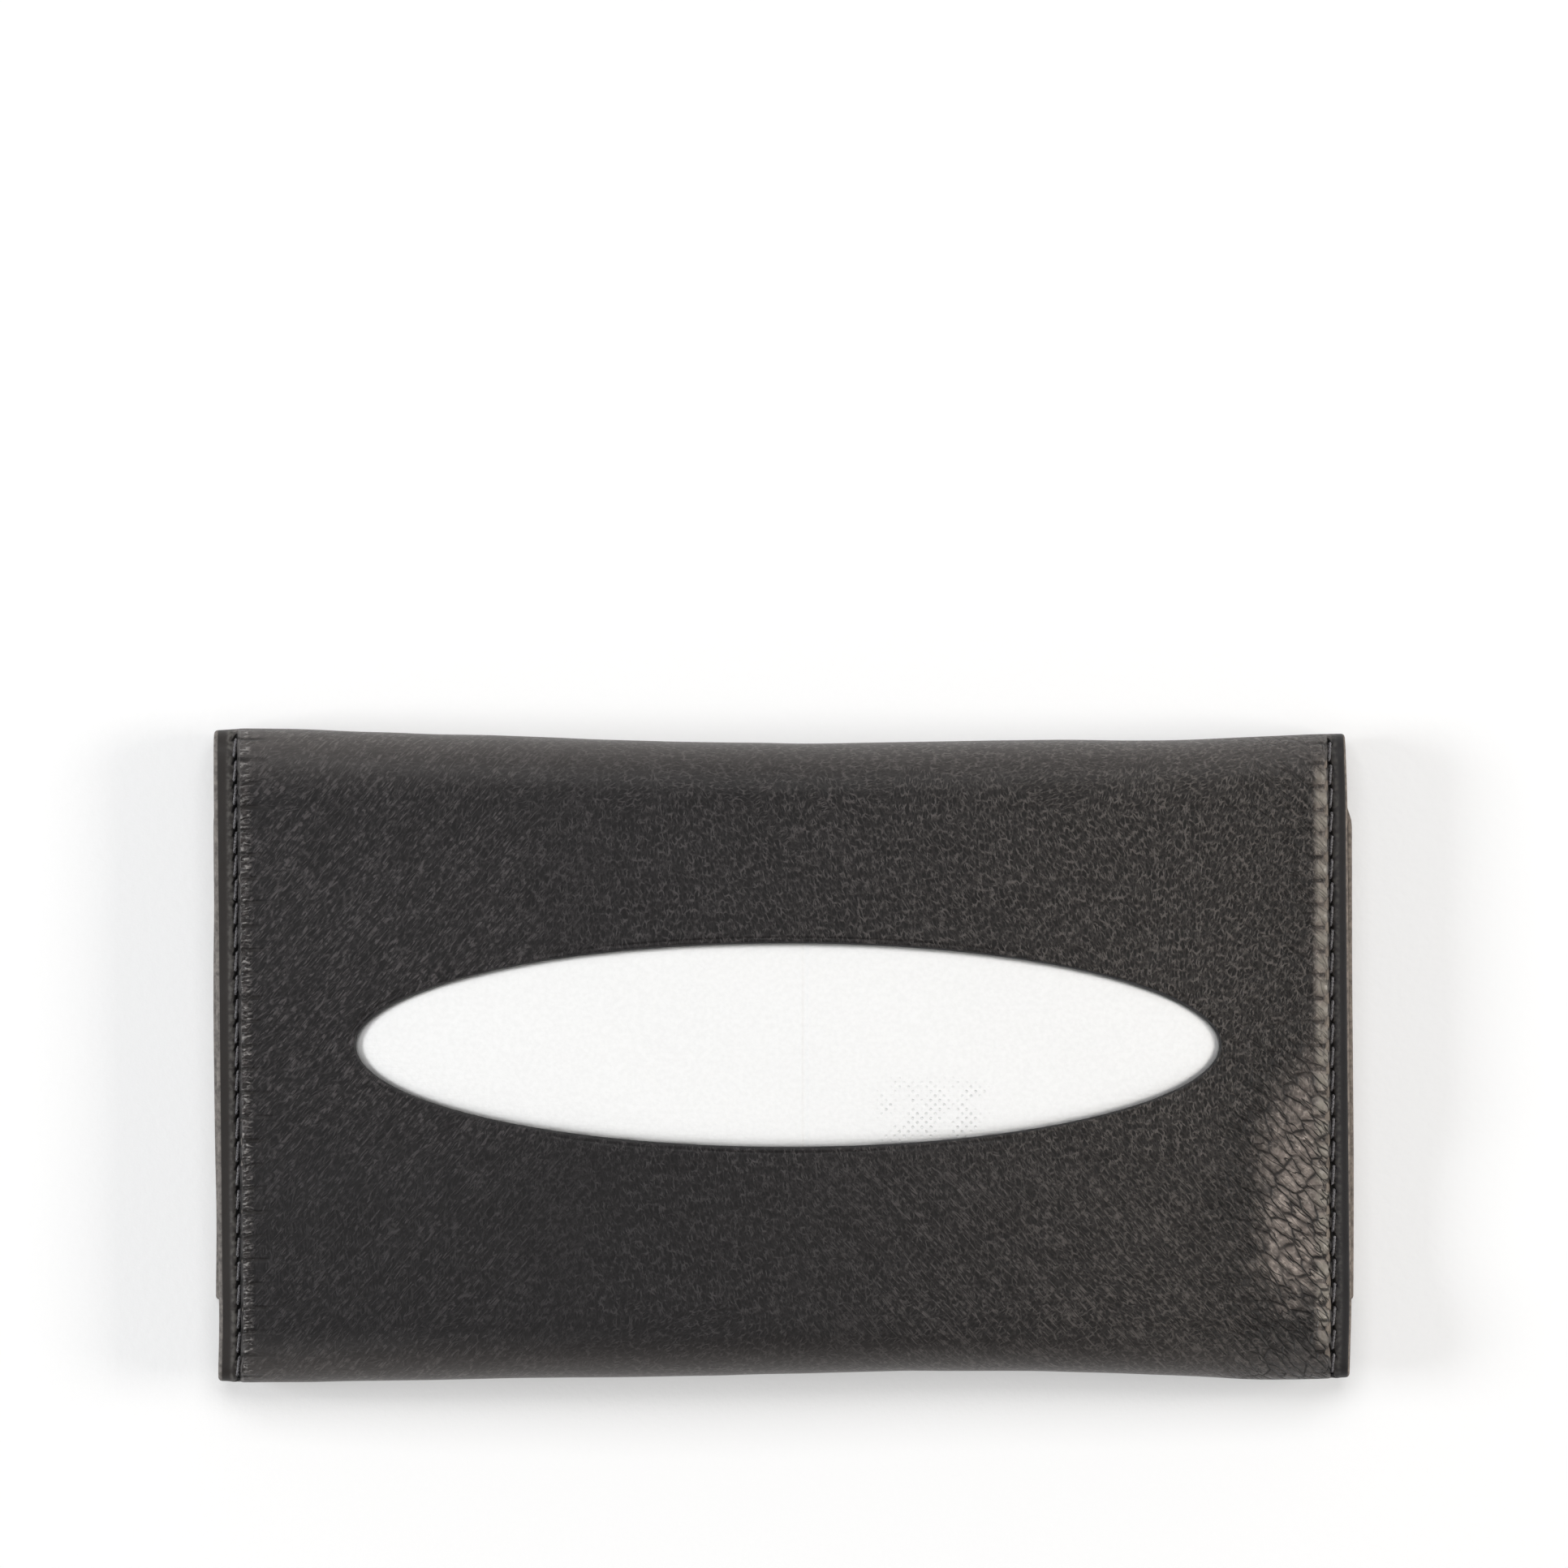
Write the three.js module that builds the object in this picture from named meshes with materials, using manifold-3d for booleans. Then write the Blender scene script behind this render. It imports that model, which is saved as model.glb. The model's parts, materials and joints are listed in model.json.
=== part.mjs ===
// Pocket tissue holder: a lined leather case with an oval opening, a back flap and ten tissues.
// Millimetres. +X runs along the length, +Y from the bottom fold to the top fold, and +Z out of
// the front. The flap's outer face lies at z = 0, under the middle of the case.

import * as THREE from 'three';
import { mergeVertices } from 'three/addons/utils/BufferGeometryUtils.js';
import Module from 'manifold-3d';

const wasm = await Module();
wasm.setup();

// Hide, lining and glue
const leatherThickness = 1.2;
const liningThickness = 0.4;
const glueLine = 0.1;

// Case, seen from the front
const frontLength = 138.8;
const caseHeight = 80.4;
const topBow = 1.9;
const bottomBow = 1.3;
const seamWidth = 3.4;
const slopeRun = 5;
const crownDrop = 4.2;
const pocketHeight = 48;
const seamGap = 0.3;

// A full roll is this much shallower than a true half round
const rollShare = 0.85;

// The front sinks from mid length towards its seams as this power of the way there
const crownPower = 2.3;

// Oval opening in the front
const windowSideMargin = 16.8;
const windowHeight = 25.1;
const windowRise = 1.3;
const windowShift = 0.6;

// Flap
const flapOverhang = 0.6;
const flapShortfall = 9.9;
const flapCornerRadius = 1;
const flapGap = 0.8;
const hingeLead = 1;
const hingeGap = 0.3;
const liningInset = 0.5;

// Tissues
const tissueCount = 10;
const tissueThickness = 0.75;
const tissueFoldRadius = 0.37;
const packClearance = 0.3;
const packEndRoom = 10.2;

// Magnets
const magnetRadius = 6;
const magnetThickness = 0.6;
const magnetRecess = 0.7;
const magnetClearance = 0.3;
const magnetRise = 10;
const magnetSideInset = 22;

// Stitches
const stitchPitch = 2.9;
const stitchInset = 2.1;
const threadRadius = 0.2;
const threadLift = 0.3;
const stitchDip = 0.5;
const awlLength = 1.4;
const awlWidth = 0.8;
const dipRun = 0.5;
const mouthTurn = 0.5;
const stitchFirstTurn = Math.PI / 4;

// Allowances and counts
const cutOverrun = 0.2;
const mergeTolerance = 0.00001;
const middleSteps = 7;
const slopeSteps = 5;
const rollSteps = 8;
const packSteps = 8;
const windowSegments = 28;
const magnetSegments = 24;
const threadSides = 5;
const cornerSegments = 4;

// Heights of the layers above the flap's outer face
const wall = leatherThickness + glueLine + liningThickness;
const pocketZ = wall + flapGap;
const packZ = pocketZ + wall + packClearance;
const packTopZ = packZ + tissueCount * tissueThickness;
const frontZ = packTopZ + packClearance + wall;
const seamZ = pocketZ + wall + seamGap + wall;

// Places along the length
const edgeX = frontLength / 2;
const seamX = edgeX - seamWidth;
const flatX = seamX - slopeRun;
const stitchX = edgeX - stitchInset;
const flapEdgeX = edgeX + flapOverhang;
const packHalfLength = seamX - packEndRoom;

// Places across the height
const halfHeight = caseHeight / 2;
const mouthY = pocketHeight - halfHeight;
const flapEndY = flapShortfall - halfHeight;

// How far the front has sunk at a place along the length, before it slopes down to the seam
function crownSink(x) {
  const reach = Math.min(Math.abs(x) / seamX, 1);
  return crownDrop * reach ** crownPower;
}

// The height of the front at a place along the length
function frontHeight(x) {
  const slope = THREE.MathUtils.smoothstep(Math.abs(x), flatX, seamX);
  return THREE.MathUtils.lerp(frontZ - crownSink(x), seamZ, slope);
}

// The stack draws the long edges in, most at mid length
function bow(x) {
  const reach = Math.min(Math.abs(x) / seamX, 1);
  return Math.cos(reach * Math.PI / 2) ** 2;
}

// The rolls at one place along the length: centre, half depth along Y and half thickness along Z
function rollsAt(x) {
  const faceZ = frontHeight(x);
  const roundness = THREE.MathUtils.mapLinear(faceZ, frontZ, seamZ, rollShare, 1);
  const topReach = halfHeight - topBow * bow(x);
  const bottomReach = halfHeight - bottomBow * bow(x);
  const topHalf = faceZ / 2;
  const bottomHalf = (faceZ - pocketZ) / 2;
  return {
    faceZ,
    top: { depth: topHalf * roundness, half: topHalf, y: topReach - topHalf * roundness, z: topHalf },
    bottom: {
      depth: bottomHalf * roundness,
      half: bottomHalf,
      y: bottomHalf * roundness - bottomReach,
      z: pocketZ + bottomHalf,
    },
  };
}

const middleRolls = rollsAt(0);
const hingeY = middleRolls.top.y - hingeLead;

// A point of a roll and its outward normal; side is 1 at the top fold and -1 at the bottom fold
function rollPoint(roll, side, turn) {
  const normal = new THREE.Vector2(side * Math.cos(turn) / roll.depth, Math.sin(turn) / roll.half);
  return {
    y: roll.y + side * roll.depth * Math.cos(turn),
    z: roll.z + roll.half * Math.sin(turn),
    normal: normal.normalize(),
  };
}

// The outside of the case in section, from the flap's fold over the front to the pocket's mouth
function outline(x) {
  const { top, bottom } = rollsAt(x);
  const down = new THREE.Vector2(0, -1);
  const points = [{ y: hingeY + hingeGap / 2, z: 0, normal: down }];
  for (let i = 0; i <= rollSteps; i++) {
    points.push(rollPoint(top, 1, Math.PI * (i / rollSteps - 1 / 2)));
  }
  for (let i = 0; i <= rollSteps; i++) {
    points.push(rollPoint(bottom, -1, Math.PI * (1 / 2 - i / rollSteps)));
  }
  points.push({ y: mouthY, z: pocketZ, normal: down });
  return points;
}

// Sections along the length, closest together where the front slopes down to a seam
function stations() {
  const half = [];
  for (let i = 1; i <= middleSteps; i++) {
    half.push(flatX * i / middleSteps);
  }
  for (let i = 1; i <= slopeSteps; i++) {
    half.push(flatX + slopeRun * i / slopeSteps);
  }
  half.push(edgeX);
  return [...half.map((x) => -x).reverse(), 0, ...half];
}

// A sheet wrapped round the case between two depths below its outside
function wrappedSheet(outerDepth, innerDepth) {
  const places = stations();
  const sections = places.map(outline);
  const lengthSteps = places.length - 1;
  const wrapSteps = sections[0].length - 1;
  const sheet = new THREE.BoxGeometry(1, 1, 1, lengthSteps, wrapSteps, 1);
  const position = sheet.attributes.position;
  for (let i = 0; i < position.count; i++) {
    const along = Math.round((position.getX(i) + 1 / 2) * lengthSteps);
    const round = Math.round((position.getY(i) + 1 / 2) * wrapSteps);
    const depth = position.getZ(i) < 0 ? outerDepth : innerDepth;
    const point = sections[along][round];
    position.setXYZ(i, places[along], point.y - depth * point.normal.x, point.z - depth * point.normal.y);
  }
  return sheet;
}

function toSolid(geometry) {
  const bare = geometry.clone();
  bare.deleteAttribute('normal');
  bare.deleteAttribute('uv');
  const merged = mergeVertices(bare, mergeTolerance);
  return new wasm.Manifold(new wasm.Mesh({
    numProp: 3,
    vertProperties: merged.attributes.position.array,
    triVerts: Uint32Array.from(merged.index.array),
  }));
}

function toGeometry(solid) {
  const { vertProperties, triVerts } = solid.getMesh();
  const geometry = new THREE.BufferGeometry();
  geometry.setAttribute('position', new THREE.BufferAttribute(vertProperties, 3));
  geometry.setIndex(new THREE.BufferAttribute(triVerts, 1));
  geometry.computeVertexNormals();
  return geometry;
}

// One place of a seam: its hole's middle on the front, with the way along the seam and out of it
function seamPlace(run) {
  const { faceZ, top, bottom } = rollsAt(edgeX);
  const topArc = (Math.PI / 2 - stitchFirstTurn) * top.half;
  const flatRun = top.y - bottom.y;
  if (run < topArc) {
    const point = rollPoint(top, 1, stitchFirstTurn + run / top.half);
    return { y: point.y, z: point.z, out: point.normal };
  }
  if (run > topArc + flatRun) {
    const turn = Math.PI / 2 - (run - topArc - flatRun) / bottom.half;
    const point = rollPoint(bottom, -1, turn);
    return { y: point.y, z: point.z, out: point.normal };
  }
  return { y: top.y - (run - topArc), z: faceZ, out: new THREE.Vector2(0, 1) };
}

function seamRun() {
  const { top, bottom } = rollsAt(edgeX);
  return top.y - bottom.y + (Math.PI / 2 - stitchFirstTurn) * (top.half + bottom.half);
}

const stitchCount = Math.floor(seamRun() / stitchPitch);
const stitchStep = seamRun() / stitchCount;

function point3(x, y, z) {
  return new THREE.Vector3(x, y, z);
}

// A point beside a place of the seam: so far on along it, and so far out of it
function beside(x, place, along, out) {
  return point3(
    x,
    place.y + place.out.x * out - place.out.y * along,
    place.z + place.out.y * out + place.out.x * along,
  );
}

// The needle thread rises over the front between its holes and dips into each of them
function needleRoute(x) {
  const route = [];
  for (let i = 0; i <= stitchCount; i++) {
    const hole = seamPlace(i * stitchStep);
    if (i > 0) {
      route.push(beside(x, seamPlace((i - 1 / 2) * stitchStep), 0, threadLift));
      route.push(beside(x, hole, -dipRun, threadLift));
    }
    route.push(beside(x, hole, 0, -stitchDip));
    if (i < stitchCount) {
      route.push(beside(x, hole, dipRun, threadLift));
    }
  }
  return route;
}

// The places of the holes that go through the flat of the seam, from the top down
function flatHoles() {
  const { faceZ } = rollsAt(edgeX);
  const holes = [];
  for (let i = 0; i <= stitchCount; i++) {
    const hole = seamPlace(i * stitchStep);
    if (hole.z === faceZ) {
      holes.push(hole.y);
    }
  }
  return holes;
}

// The bobbin thread runs inside the front down to the pocket's mouth, then along the pocket
function bobbinRoute(x) {
  const liningZ = seamZ - wall;
  const inFront = (y) => y > mouthY + mouthTurn;
  const surface = (y) => (inFront(y) ? liningZ : pocketZ);
  const route = [];
  const holes = flatHoles();
  holes.forEach((y, i) => {
    const free = Math.abs(y - mouthY) > dipRun + mouthTurn + threadRadius;
    if (i > 0) {
      route.push(point3(x, y + dipRun, surface(y) - threadLift));
    }
    if (free) {
      route.push(point3(x, y, surface(y) + stitchDip));
    }
    if (i < holes.length - 1) {
      route.push(point3(x, y - dipRun, surface(y) - threadLift));
      if (inFront(y) && !inFront(holes[i + 1])) {
        route.push(point3(x, mouthY + mouthTurn, liningZ - threadLift));
        route.push(point3(x, mouthY + mouthTurn, pocketZ - threadLift));
      }
    }
  });
  return route;
}

// A thread's steps fall on its own points, so that no dip is cut off
class ThreadPath extends THREE.Curve {
  constructor(points) {
    super();
    this.points = points;
  }

  getPoint(share, target = new THREE.Vector3()) {
    const place = share * (this.points.length - 1);
    const first = Math.min(Math.floor(place), this.points.length - 2);
    return target.lerpVectors(this.points[first], this.points[first + 1], place - first);
  }

  getUtoTmapping(share) {
    return share;
  }
}

function thread(route) {
  const round = [];
  for (let i = 0; i < threadSides; i++) {
    const turn = 2 * Math.PI * i / threadSides;
    round.push(new THREE.Vector2(threadRadius * Math.cos(turn), threadRadius * Math.sin(turn)));
  }
  return new THREE.ExtrudeGeometry(new THREE.Shape(round), {
    steps: route.length - 1,
    extrudePath: new ThreadPath(route),
  });
}

// An awl's blade, as deep as the layers it goes through
function awl(x, y, z, depth, turn) {
  const blade = new THREE.BoxGeometry(awlWidth, awlLength, depth);
  blade.rotateX(turn);
  blade.translate(x, y, z);
  return toSolid(blade);
}

// All the holes of one seam
function seamAwls(x) {
  const { faceZ } = rollsAt(edgeX);
  const through = seamZ - pocketZ + cutOverrun;
  const single = wall + cutOverrun;
  let blades = null;
  for (let i = 0; i <= stitchCount; i++) {
    const hole = seamPlace(i * stitchStep);
    const flat = hole.z === faceZ;
    const depth = flat && hole.y < mouthY + mouthTurn ? through : single;
    const inward = depth / 2 - cutOverrun / 2;
    const turn = Math.atan2(-hole.out.x, hole.out.y);
    const blade = awl(x, hole.y - hole.out.x * inward, hole.z - hole.out.y * inward, depth, turn);
    blades = blades ? blades.add(blade) : blade;
  }
  return blades;
}

// The oval punch, from just under the lowest part of its rim to just above the front
function ovalPunch() {
  const oval = new THREE.Shape();
  oval.absellipse(windowShift, windowRise, edgeX - windowSideMargin, windowHeight / 2, 0, 2 * Math.PI);
  const punch = new THREE.ExtrudeGeometry(oval, {
    depth: wall + crownDrop + cutOverrun * 2,
    bevelEnabled: false,
    curveSegments: windowSegments,
  });
  punch.translate(0, 0, frontZ - crownDrop - wall - cutOverrun);
  return toSolid(punch);
}

const magnetX = flapEdgeX - magnetSideInset;
const magnetY = flapEndY + magnetRise;

// A disc that stands on a height, such as a magnet or the recess that takes it
function disc(x, z, radius, thickness) {
  const shape = new THREE.CylinderGeometry(radius, radius, thickness, magnetSegments);
  shape.rotateX(Math.PI / 2);
  shape.translate(x, magnetY, z + thickness / 2);
  return shape;
}

function recessed(solid, floorZ) {
  let result = solid;
  for (const x of [-magnetX, magnetX]) {
    const recess = disc(x, floorZ, magnetRadius + magnetClearance, magnetRecess + cutOverrun);
    result = result.subtract(toSolid(recess));
  }
  return result;
}

const pocketMagnetZ = pocketZ + leatherThickness - magnetRecess;
const flapMagnetZ = leatherThickness - magnetRecess;

// A plain panel with its two lower corners rounded
function flapPanel(inset, lowZ, thickness) {
  const side = flapEdgeX - inset;
  const end = flapEndY + inset;
  const top = hingeY - hingeGap / 2 - inset;
  const radius = flapCornerRadius;
  const shape = new THREE.Shape();
  shape.moveTo(-side, top);
  shape.lineTo(-side, end + radius);
  shape.absarc(radius - side, end + radius, radius, Math.PI, 3 * Math.PI / 2);
  shape.lineTo(side - radius, end);
  shape.absarc(side - radius, end + radius, radius, -Math.PI / 2, 0);
  shape.lineTo(side, top);
  shape.closePath();
  const panel = new THREE.ExtrudeGeometry(shape, {
    depth: thickness,
    bevelEnabled: false,
    curveSegments: cornerSegments,
  });
  panel.translate(0, 0, lowZ);
  return panel;
}

// How far past a roll's middle a corner at this height still clears the lining
function rollRoom(roll, height) {
  const half = roll.half - wall - packClearance / 2;
  const depth = roll.depth - wall - packClearance / 2;
  return depth * Math.sqrt(Math.max(0, 1 - ((height - roll.z) / half) ** 2));
}

const packTopY = middleRolls.top.y + rollRoom(middleRolls.top, packTopZ) - packClearance;
const packBottomY = middleRolls.bottom.y - rollRoom(middleRolls.bottom, packTopZ) + packClearance;

// The front presses the stack thinner towards its ends
function pressPacket(packet) {
  const position = packet.attributes.position;
  for (let i = 0; i < position.count; i++) {
    const share = 1 - crownSink(position.getX(i)) / (packTopZ - packZ);
    position.setZ(i, THREE.MathUtils.lerp(packZ, position.getZ(i), share));
  }
}

// A folded tissue: a packet with its fold at one long side and its open leaves at the other
function tissue(index) {
  const lowZ = packZ + index * tissueThickness;
  const highZ = packZ + (index + 1) * tissueThickness;
  const foldAtTop = index % 2 === 0;
  const foldY = foldAtTop ? packTopY : packBottomY;
  const openY = foldAtTop ? packBottomY : packTopY;
  const radius = Math.min(tissueFoldRadius, tissueThickness / 2);
  const inward = foldAtTop ? -radius : radius;
  const profile = new THREE.Shape();
  profile.moveTo(openY, lowZ);
  profile.lineTo(foldY + inward, lowZ);
  profile.quadraticCurveTo(foldY, lowZ, foldY, lowZ + radius);
  profile.lineTo(foldY, highZ - radius);
  profile.quadraticCurveTo(foldY, highZ, foldY + inward, highZ);
  profile.lineTo(openY, highZ);
  profile.closePath();
  const packet = new THREE.ExtrudeGeometry(profile, {
    depth: 2 * packHalfLength,
    steps: packSteps,
    bevelEnabled: false,
    curveSegments: cornerSegments,
  });
  // The profile was drawn as height over depth, so it is stood up and laid along the length
  packet.rotateY(Math.PI / 2);
  packet.rotateX(Math.PI / 2);
  packet.translate(-packHalfLength, 0, 0);
  pressPacket(packet);
  return packet;
}

const leatherFinish = { color: '#2e2c2b', roughness: 0.55, metalness: 0 };
const liningFinish = { color: '#23211f', roughness: 0.85, metalness: 0 };
const threadFinish = { color: '#1f1e1e', roughness: 0.6, metalness: 0 };
const magnetFinish = { color: '#b9bbbd', roughness: 0.3, metalness: 1 };
const tissueFinish = { color: '#f4f3f0', roughness: 0.95, metalness: 0 };

function named(name, geometry, finish) {
  const mesh = new THREE.Mesh(geometry, new THREE.MeshStandardMaterial(finish));
  mesh.name = name;
  return mesh;
}

const holder = new THREE.Group();
const flap = new THREE.Group();
const pack = new THREE.Group();

const punched = ovalPunch().add(seamAwls(-stitchX)).add(seamAwls(stitchX));
const hide = recessed(toSolid(wrappedSheet(0, leatherThickness)), pocketMagnetZ).subtract(punched);
const cloth = toSolid(wrappedSheet(leatherThickness + glueLine, wall)).subtract(punched);
holder.add(named('case_leather', toGeometry(hide), leatherFinish));
holder.add(named('case_lining', toGeometry(cloth), liningFinish));

const flapHide = recessed(toSolid(flapPanel(0, 0, leatherThickness)), flapMagnetZ);
const flapCloth = flapPanel(liningInset, leatherThickness + glueLine, liningThickness);
flap.add(named('flap_leather', toGeometry(flapHide), leatherFinish));
flap.add(named('flap_lining', flapCloth, liningFinish));

for (const [side, x] of [['left', -1], ['right', 1]]) {
  const flapMagnet = disc(x * magnetX, flapMagnetZ, magnetRadius, magnetThickness);
  const pocketMagnet = disc(x * magnetX, pocketMagnetZ, magnetRadius, magnetThickness);
  flap.add(named(`flap_magnet_${side}`, flapMagnet, magnetFinish));
  holder.add(named(`pocket_magnet_${side}`, pocketMagnet, magnetFinish));
  holder.add(named(`${side}_needle_thread`, thread(needleRoute(x * stitchX)), threadFinish));
  holder.add(named(`${side}_bobbin_thread`, thread(bobbinRoute(x * stitchX)), threadFinish));
}

for (let i = 0; i < tissueCount; i++) {
  const number = String(i + 1).padStart(2, '0');
  pack.add(named(`tissue_${number}`, tissue(i), tissueFinish));
}

holder.add(flap, pack);

export default holder;
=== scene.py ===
# Finish of a pocket tissue holder: black pebbled leather, sewn sides, an oval opening and a back flap.
# Metres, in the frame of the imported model: +X along the case, +Y to the top fold, +Z out of the front.
import json
import math
from types import SimpleNamespace

import bmesh
import bpy
import numpy as np
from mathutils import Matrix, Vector, noise


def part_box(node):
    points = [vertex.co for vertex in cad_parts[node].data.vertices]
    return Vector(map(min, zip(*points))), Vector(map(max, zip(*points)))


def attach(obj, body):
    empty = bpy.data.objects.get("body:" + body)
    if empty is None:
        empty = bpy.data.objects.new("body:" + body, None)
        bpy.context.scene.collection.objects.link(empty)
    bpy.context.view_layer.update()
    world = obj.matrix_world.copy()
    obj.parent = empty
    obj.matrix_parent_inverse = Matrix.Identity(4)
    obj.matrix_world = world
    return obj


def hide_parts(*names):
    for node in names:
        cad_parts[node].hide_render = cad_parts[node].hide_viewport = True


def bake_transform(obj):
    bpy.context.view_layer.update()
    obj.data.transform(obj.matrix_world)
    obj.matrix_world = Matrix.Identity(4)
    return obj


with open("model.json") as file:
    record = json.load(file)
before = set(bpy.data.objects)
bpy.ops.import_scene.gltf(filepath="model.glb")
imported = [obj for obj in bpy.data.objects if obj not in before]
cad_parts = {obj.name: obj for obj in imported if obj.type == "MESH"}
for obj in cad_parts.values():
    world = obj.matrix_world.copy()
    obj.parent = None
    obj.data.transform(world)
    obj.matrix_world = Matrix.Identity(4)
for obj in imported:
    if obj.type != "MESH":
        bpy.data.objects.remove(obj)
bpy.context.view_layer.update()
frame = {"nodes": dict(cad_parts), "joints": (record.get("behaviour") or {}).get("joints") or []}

MM = 0.001

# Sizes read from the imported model
case_low, case_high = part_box("case_leather")
flap_low, flap_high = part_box("flap_leather")
flap_lining_low, flap_lining_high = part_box("flap_lining")
pocket_magnet_low, pocket_magnet_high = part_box("pocket_magnet_right")
flap_magnet_low, flap_magnet_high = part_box("flap_magnet_right")
EDGE_X = case_high.x
FRONT_Z = case_high.z
HALF_HEIGHT = -case_low.y
FLAP_EDGE_X = flap_high.x
FLAP_END_Y = flap_low.y
LEATHER = flap_high.z - flap_low.z
LINING_DEPTH = flap_lining_low.z
WALL = flap_lining_high.z
HINGE_Y = frame["joints"][0]["pos_m"][1]
TISSUES = sorted(name for name in frame["nodes"] if name.startswith("tissue_"))

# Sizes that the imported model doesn't state by itself
SEAM_WIDTH = 3.4 * MM
SLOPE_RUN = 5 * MM
SEAM_GAP = 0.3 * MM
FLAP_GAP = 0.8 * MM
POCKET_HEIGHT = 48 * MM
ROLL_SHARE = 0.85
WINDOW_SIDE_MARGIN = 16.25 * MM
WINDOW_HEIGHT = 25 * MM
WINDOW_RISE = 1.3 * MM
WINDOW_SHIFT = 0.55 * MM
STITCH_INSET = {"left": 2.55 * MM, "right": 2.15 * MM}
STITCH_PITCH = 2.9 * MM
FIRST_TURN = math.pi / 4
THREAD_RADIUS = 0.2 * MM
POINTS_PER_STITCH = 14

POCKET_Z = WALL + FLAP_GAP
SEAM_Z = POCKET_Z + WALL + SEAM_GAP + WALL
SEAM_X = EDGE_X - SEAM_WIDTH
FLAT_X = SEAM_X - SLOPE_RUN
MOUTH_Y = POCKET_HEIGHT - HALF_HEIGHT
WINDOW_A = EDGE_X - WINDOW_SIDE_MARGIN
WINDOW_B = WINDOW_HEIGHT / 2

# How the hide lies before it is folded: the front, then a run for each roll, the pocket and the lead
# to the flap's fold
FRONT_RUN = 34 * MM
KEEP_RUN = 17 * MM
TOP_RUN = 20.4 * MM
LEAD_RUN = 1.4 * MM
BOTTOM_RUN = 16.7 * MM
POCKET_RUN = 42 * MM

# Where the grain changes from the front's to the rolls', in millimetres from the hide's middle line
ROLL_FADE = (31.0, 37.0)

# The holder in use isn't quite even: how far its long edges reach at places along it, and how far its
# sides and the flap's stand out at places up it, in millimetres
TOP_LINE = (
    (-66, 40.05), (-60, 40.05), (-44, 39.4), (-28, 39), (-12, 38.55), (4, 38.2),
    (20, 38.6), (34, 38.95), (44, 38.8), (54, 39.05), (68, 39.65),
)
BOTTOM_LINE = (
    (-68, 40.25), (-60, 40.4), (-50, 40.1), (-36, 39.85), (-12, 39.5), (4, 39),
    (12, 38.8), (28, 38.8), (44, 39.1), (56, 39.8), (61, 40), (68, 39.8),
)
CASE_SIDES = {
    "left": ((-38, 0.3), (-34, 0.1), (-30, 0.2), (0, 0.5), (34, 0.85), (38, 0.85)),
    "right": ((-38, 0.45), (-34, 0.65), (-30, 0.7), (0, 0.4), (34, 0.15), (38, -0.1)),
}
FLAP_SIDES = {
    "left": ((-30, 0.1), (-20, 0), (-12, 0.2), (-4, 0.3), (4, 0.4), (12, 0.4), (18, 0.3), (26, 0.4)),
    "right": ((-30, 0.45), (-22, 0.5), (-12, 0.5), (0, 0.4), (10, 0.3), (28, 0.28)),
}

# The front sinks gently towards its seams, and turns down to each of them over a rounded corner
CROWN_DROP = 4.2 * MM
CROWN_POWER = 2.3
CORNER_START = {"left": 65.7 * MM, "right": 65.5 * MM}
CORNER_RADIUS = {"left": 1.5 * MM, "right": 2.3 * MM}
CORNER_END = {"left": 66.4 * MM, "right": 66.85 * MM}
STEEP_RUN = 0.3 * MM

# A worn hollow at the lower right, which sinks earlier
HOLLOW_DEPTH = 1.8 * MM
HOLLOW_X = (57.5 * MM, 66.6 * MM)
HOLLOW_Y = -20.5 * MM
HOLLOW_SPREAD = 9.5 * MM

# How far the tissues swell up into the opening, and how soon past its rim
TISSUE_SWELL = 1.5 * MM
SWELL_RUN = 0.45 * MM
SWELL_START = 0.3 * MM

# Rims
RIM_STEP = 0.7 * MM
RIM_ROUND = 0.45 * MM
RIM_SEGMENTS = 3
RIM_ANGLE = math.radians(60)
PALE_BAND_LEFT = 1.1
PALE_BAND_RIGHT = 0.55
WINDOW_ROOM_X = 2 * MM
WINDOW_ROOM_Y = 1.9 * MM


def smooth(value, low, high):
    share = np.clip((value - low) / (high - low), 0, 1)
    return share * share * (3 - 2 * share)


def lerp(low, high, share):
    return low + (high - low) * share


def place_camera():
    """Straight above, at the photo's scale."""
    centre = Vector((0.1 * MM, 33.4 * MM, 8 * MM))
    distance = 2.5
    view_width = 193.2 * MM
    data = bpy.data.cameras.new("camera")
    data.sensor_width = 36
    data.lens = data.sensor_width * distance / view_width
    camera = bpy.data.objects.new("camera", data)
    camera.location = centre + Vector((0, 0, distance))
    bpy.context.scene.collection.objects.link(camera)
    bpy.context.scene.camera = camera


def softbox(name, azimuth, elevation, distance, size, watts, colour):
    data = bpy.data.lights.new(name, "AREA")
    data.shape = "RECTANGLE"
    data.size, data.size_y = size
    data.energy = watts
    data.color = colour
    lamp = bpy.data.objects.new(name, data)
    flat = distance * math.cos(elevation)
    away = Vector((flat * math.cos(azimuth), flat * math.sin(azimuth), distance * math.sin(elevation)))
    lamp.location = away
    lamp.rotation_euler = away.to_track_quat("Z", "Y").to_euler()
    bpy.context.scene.collection.objects.link(lamp)


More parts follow.
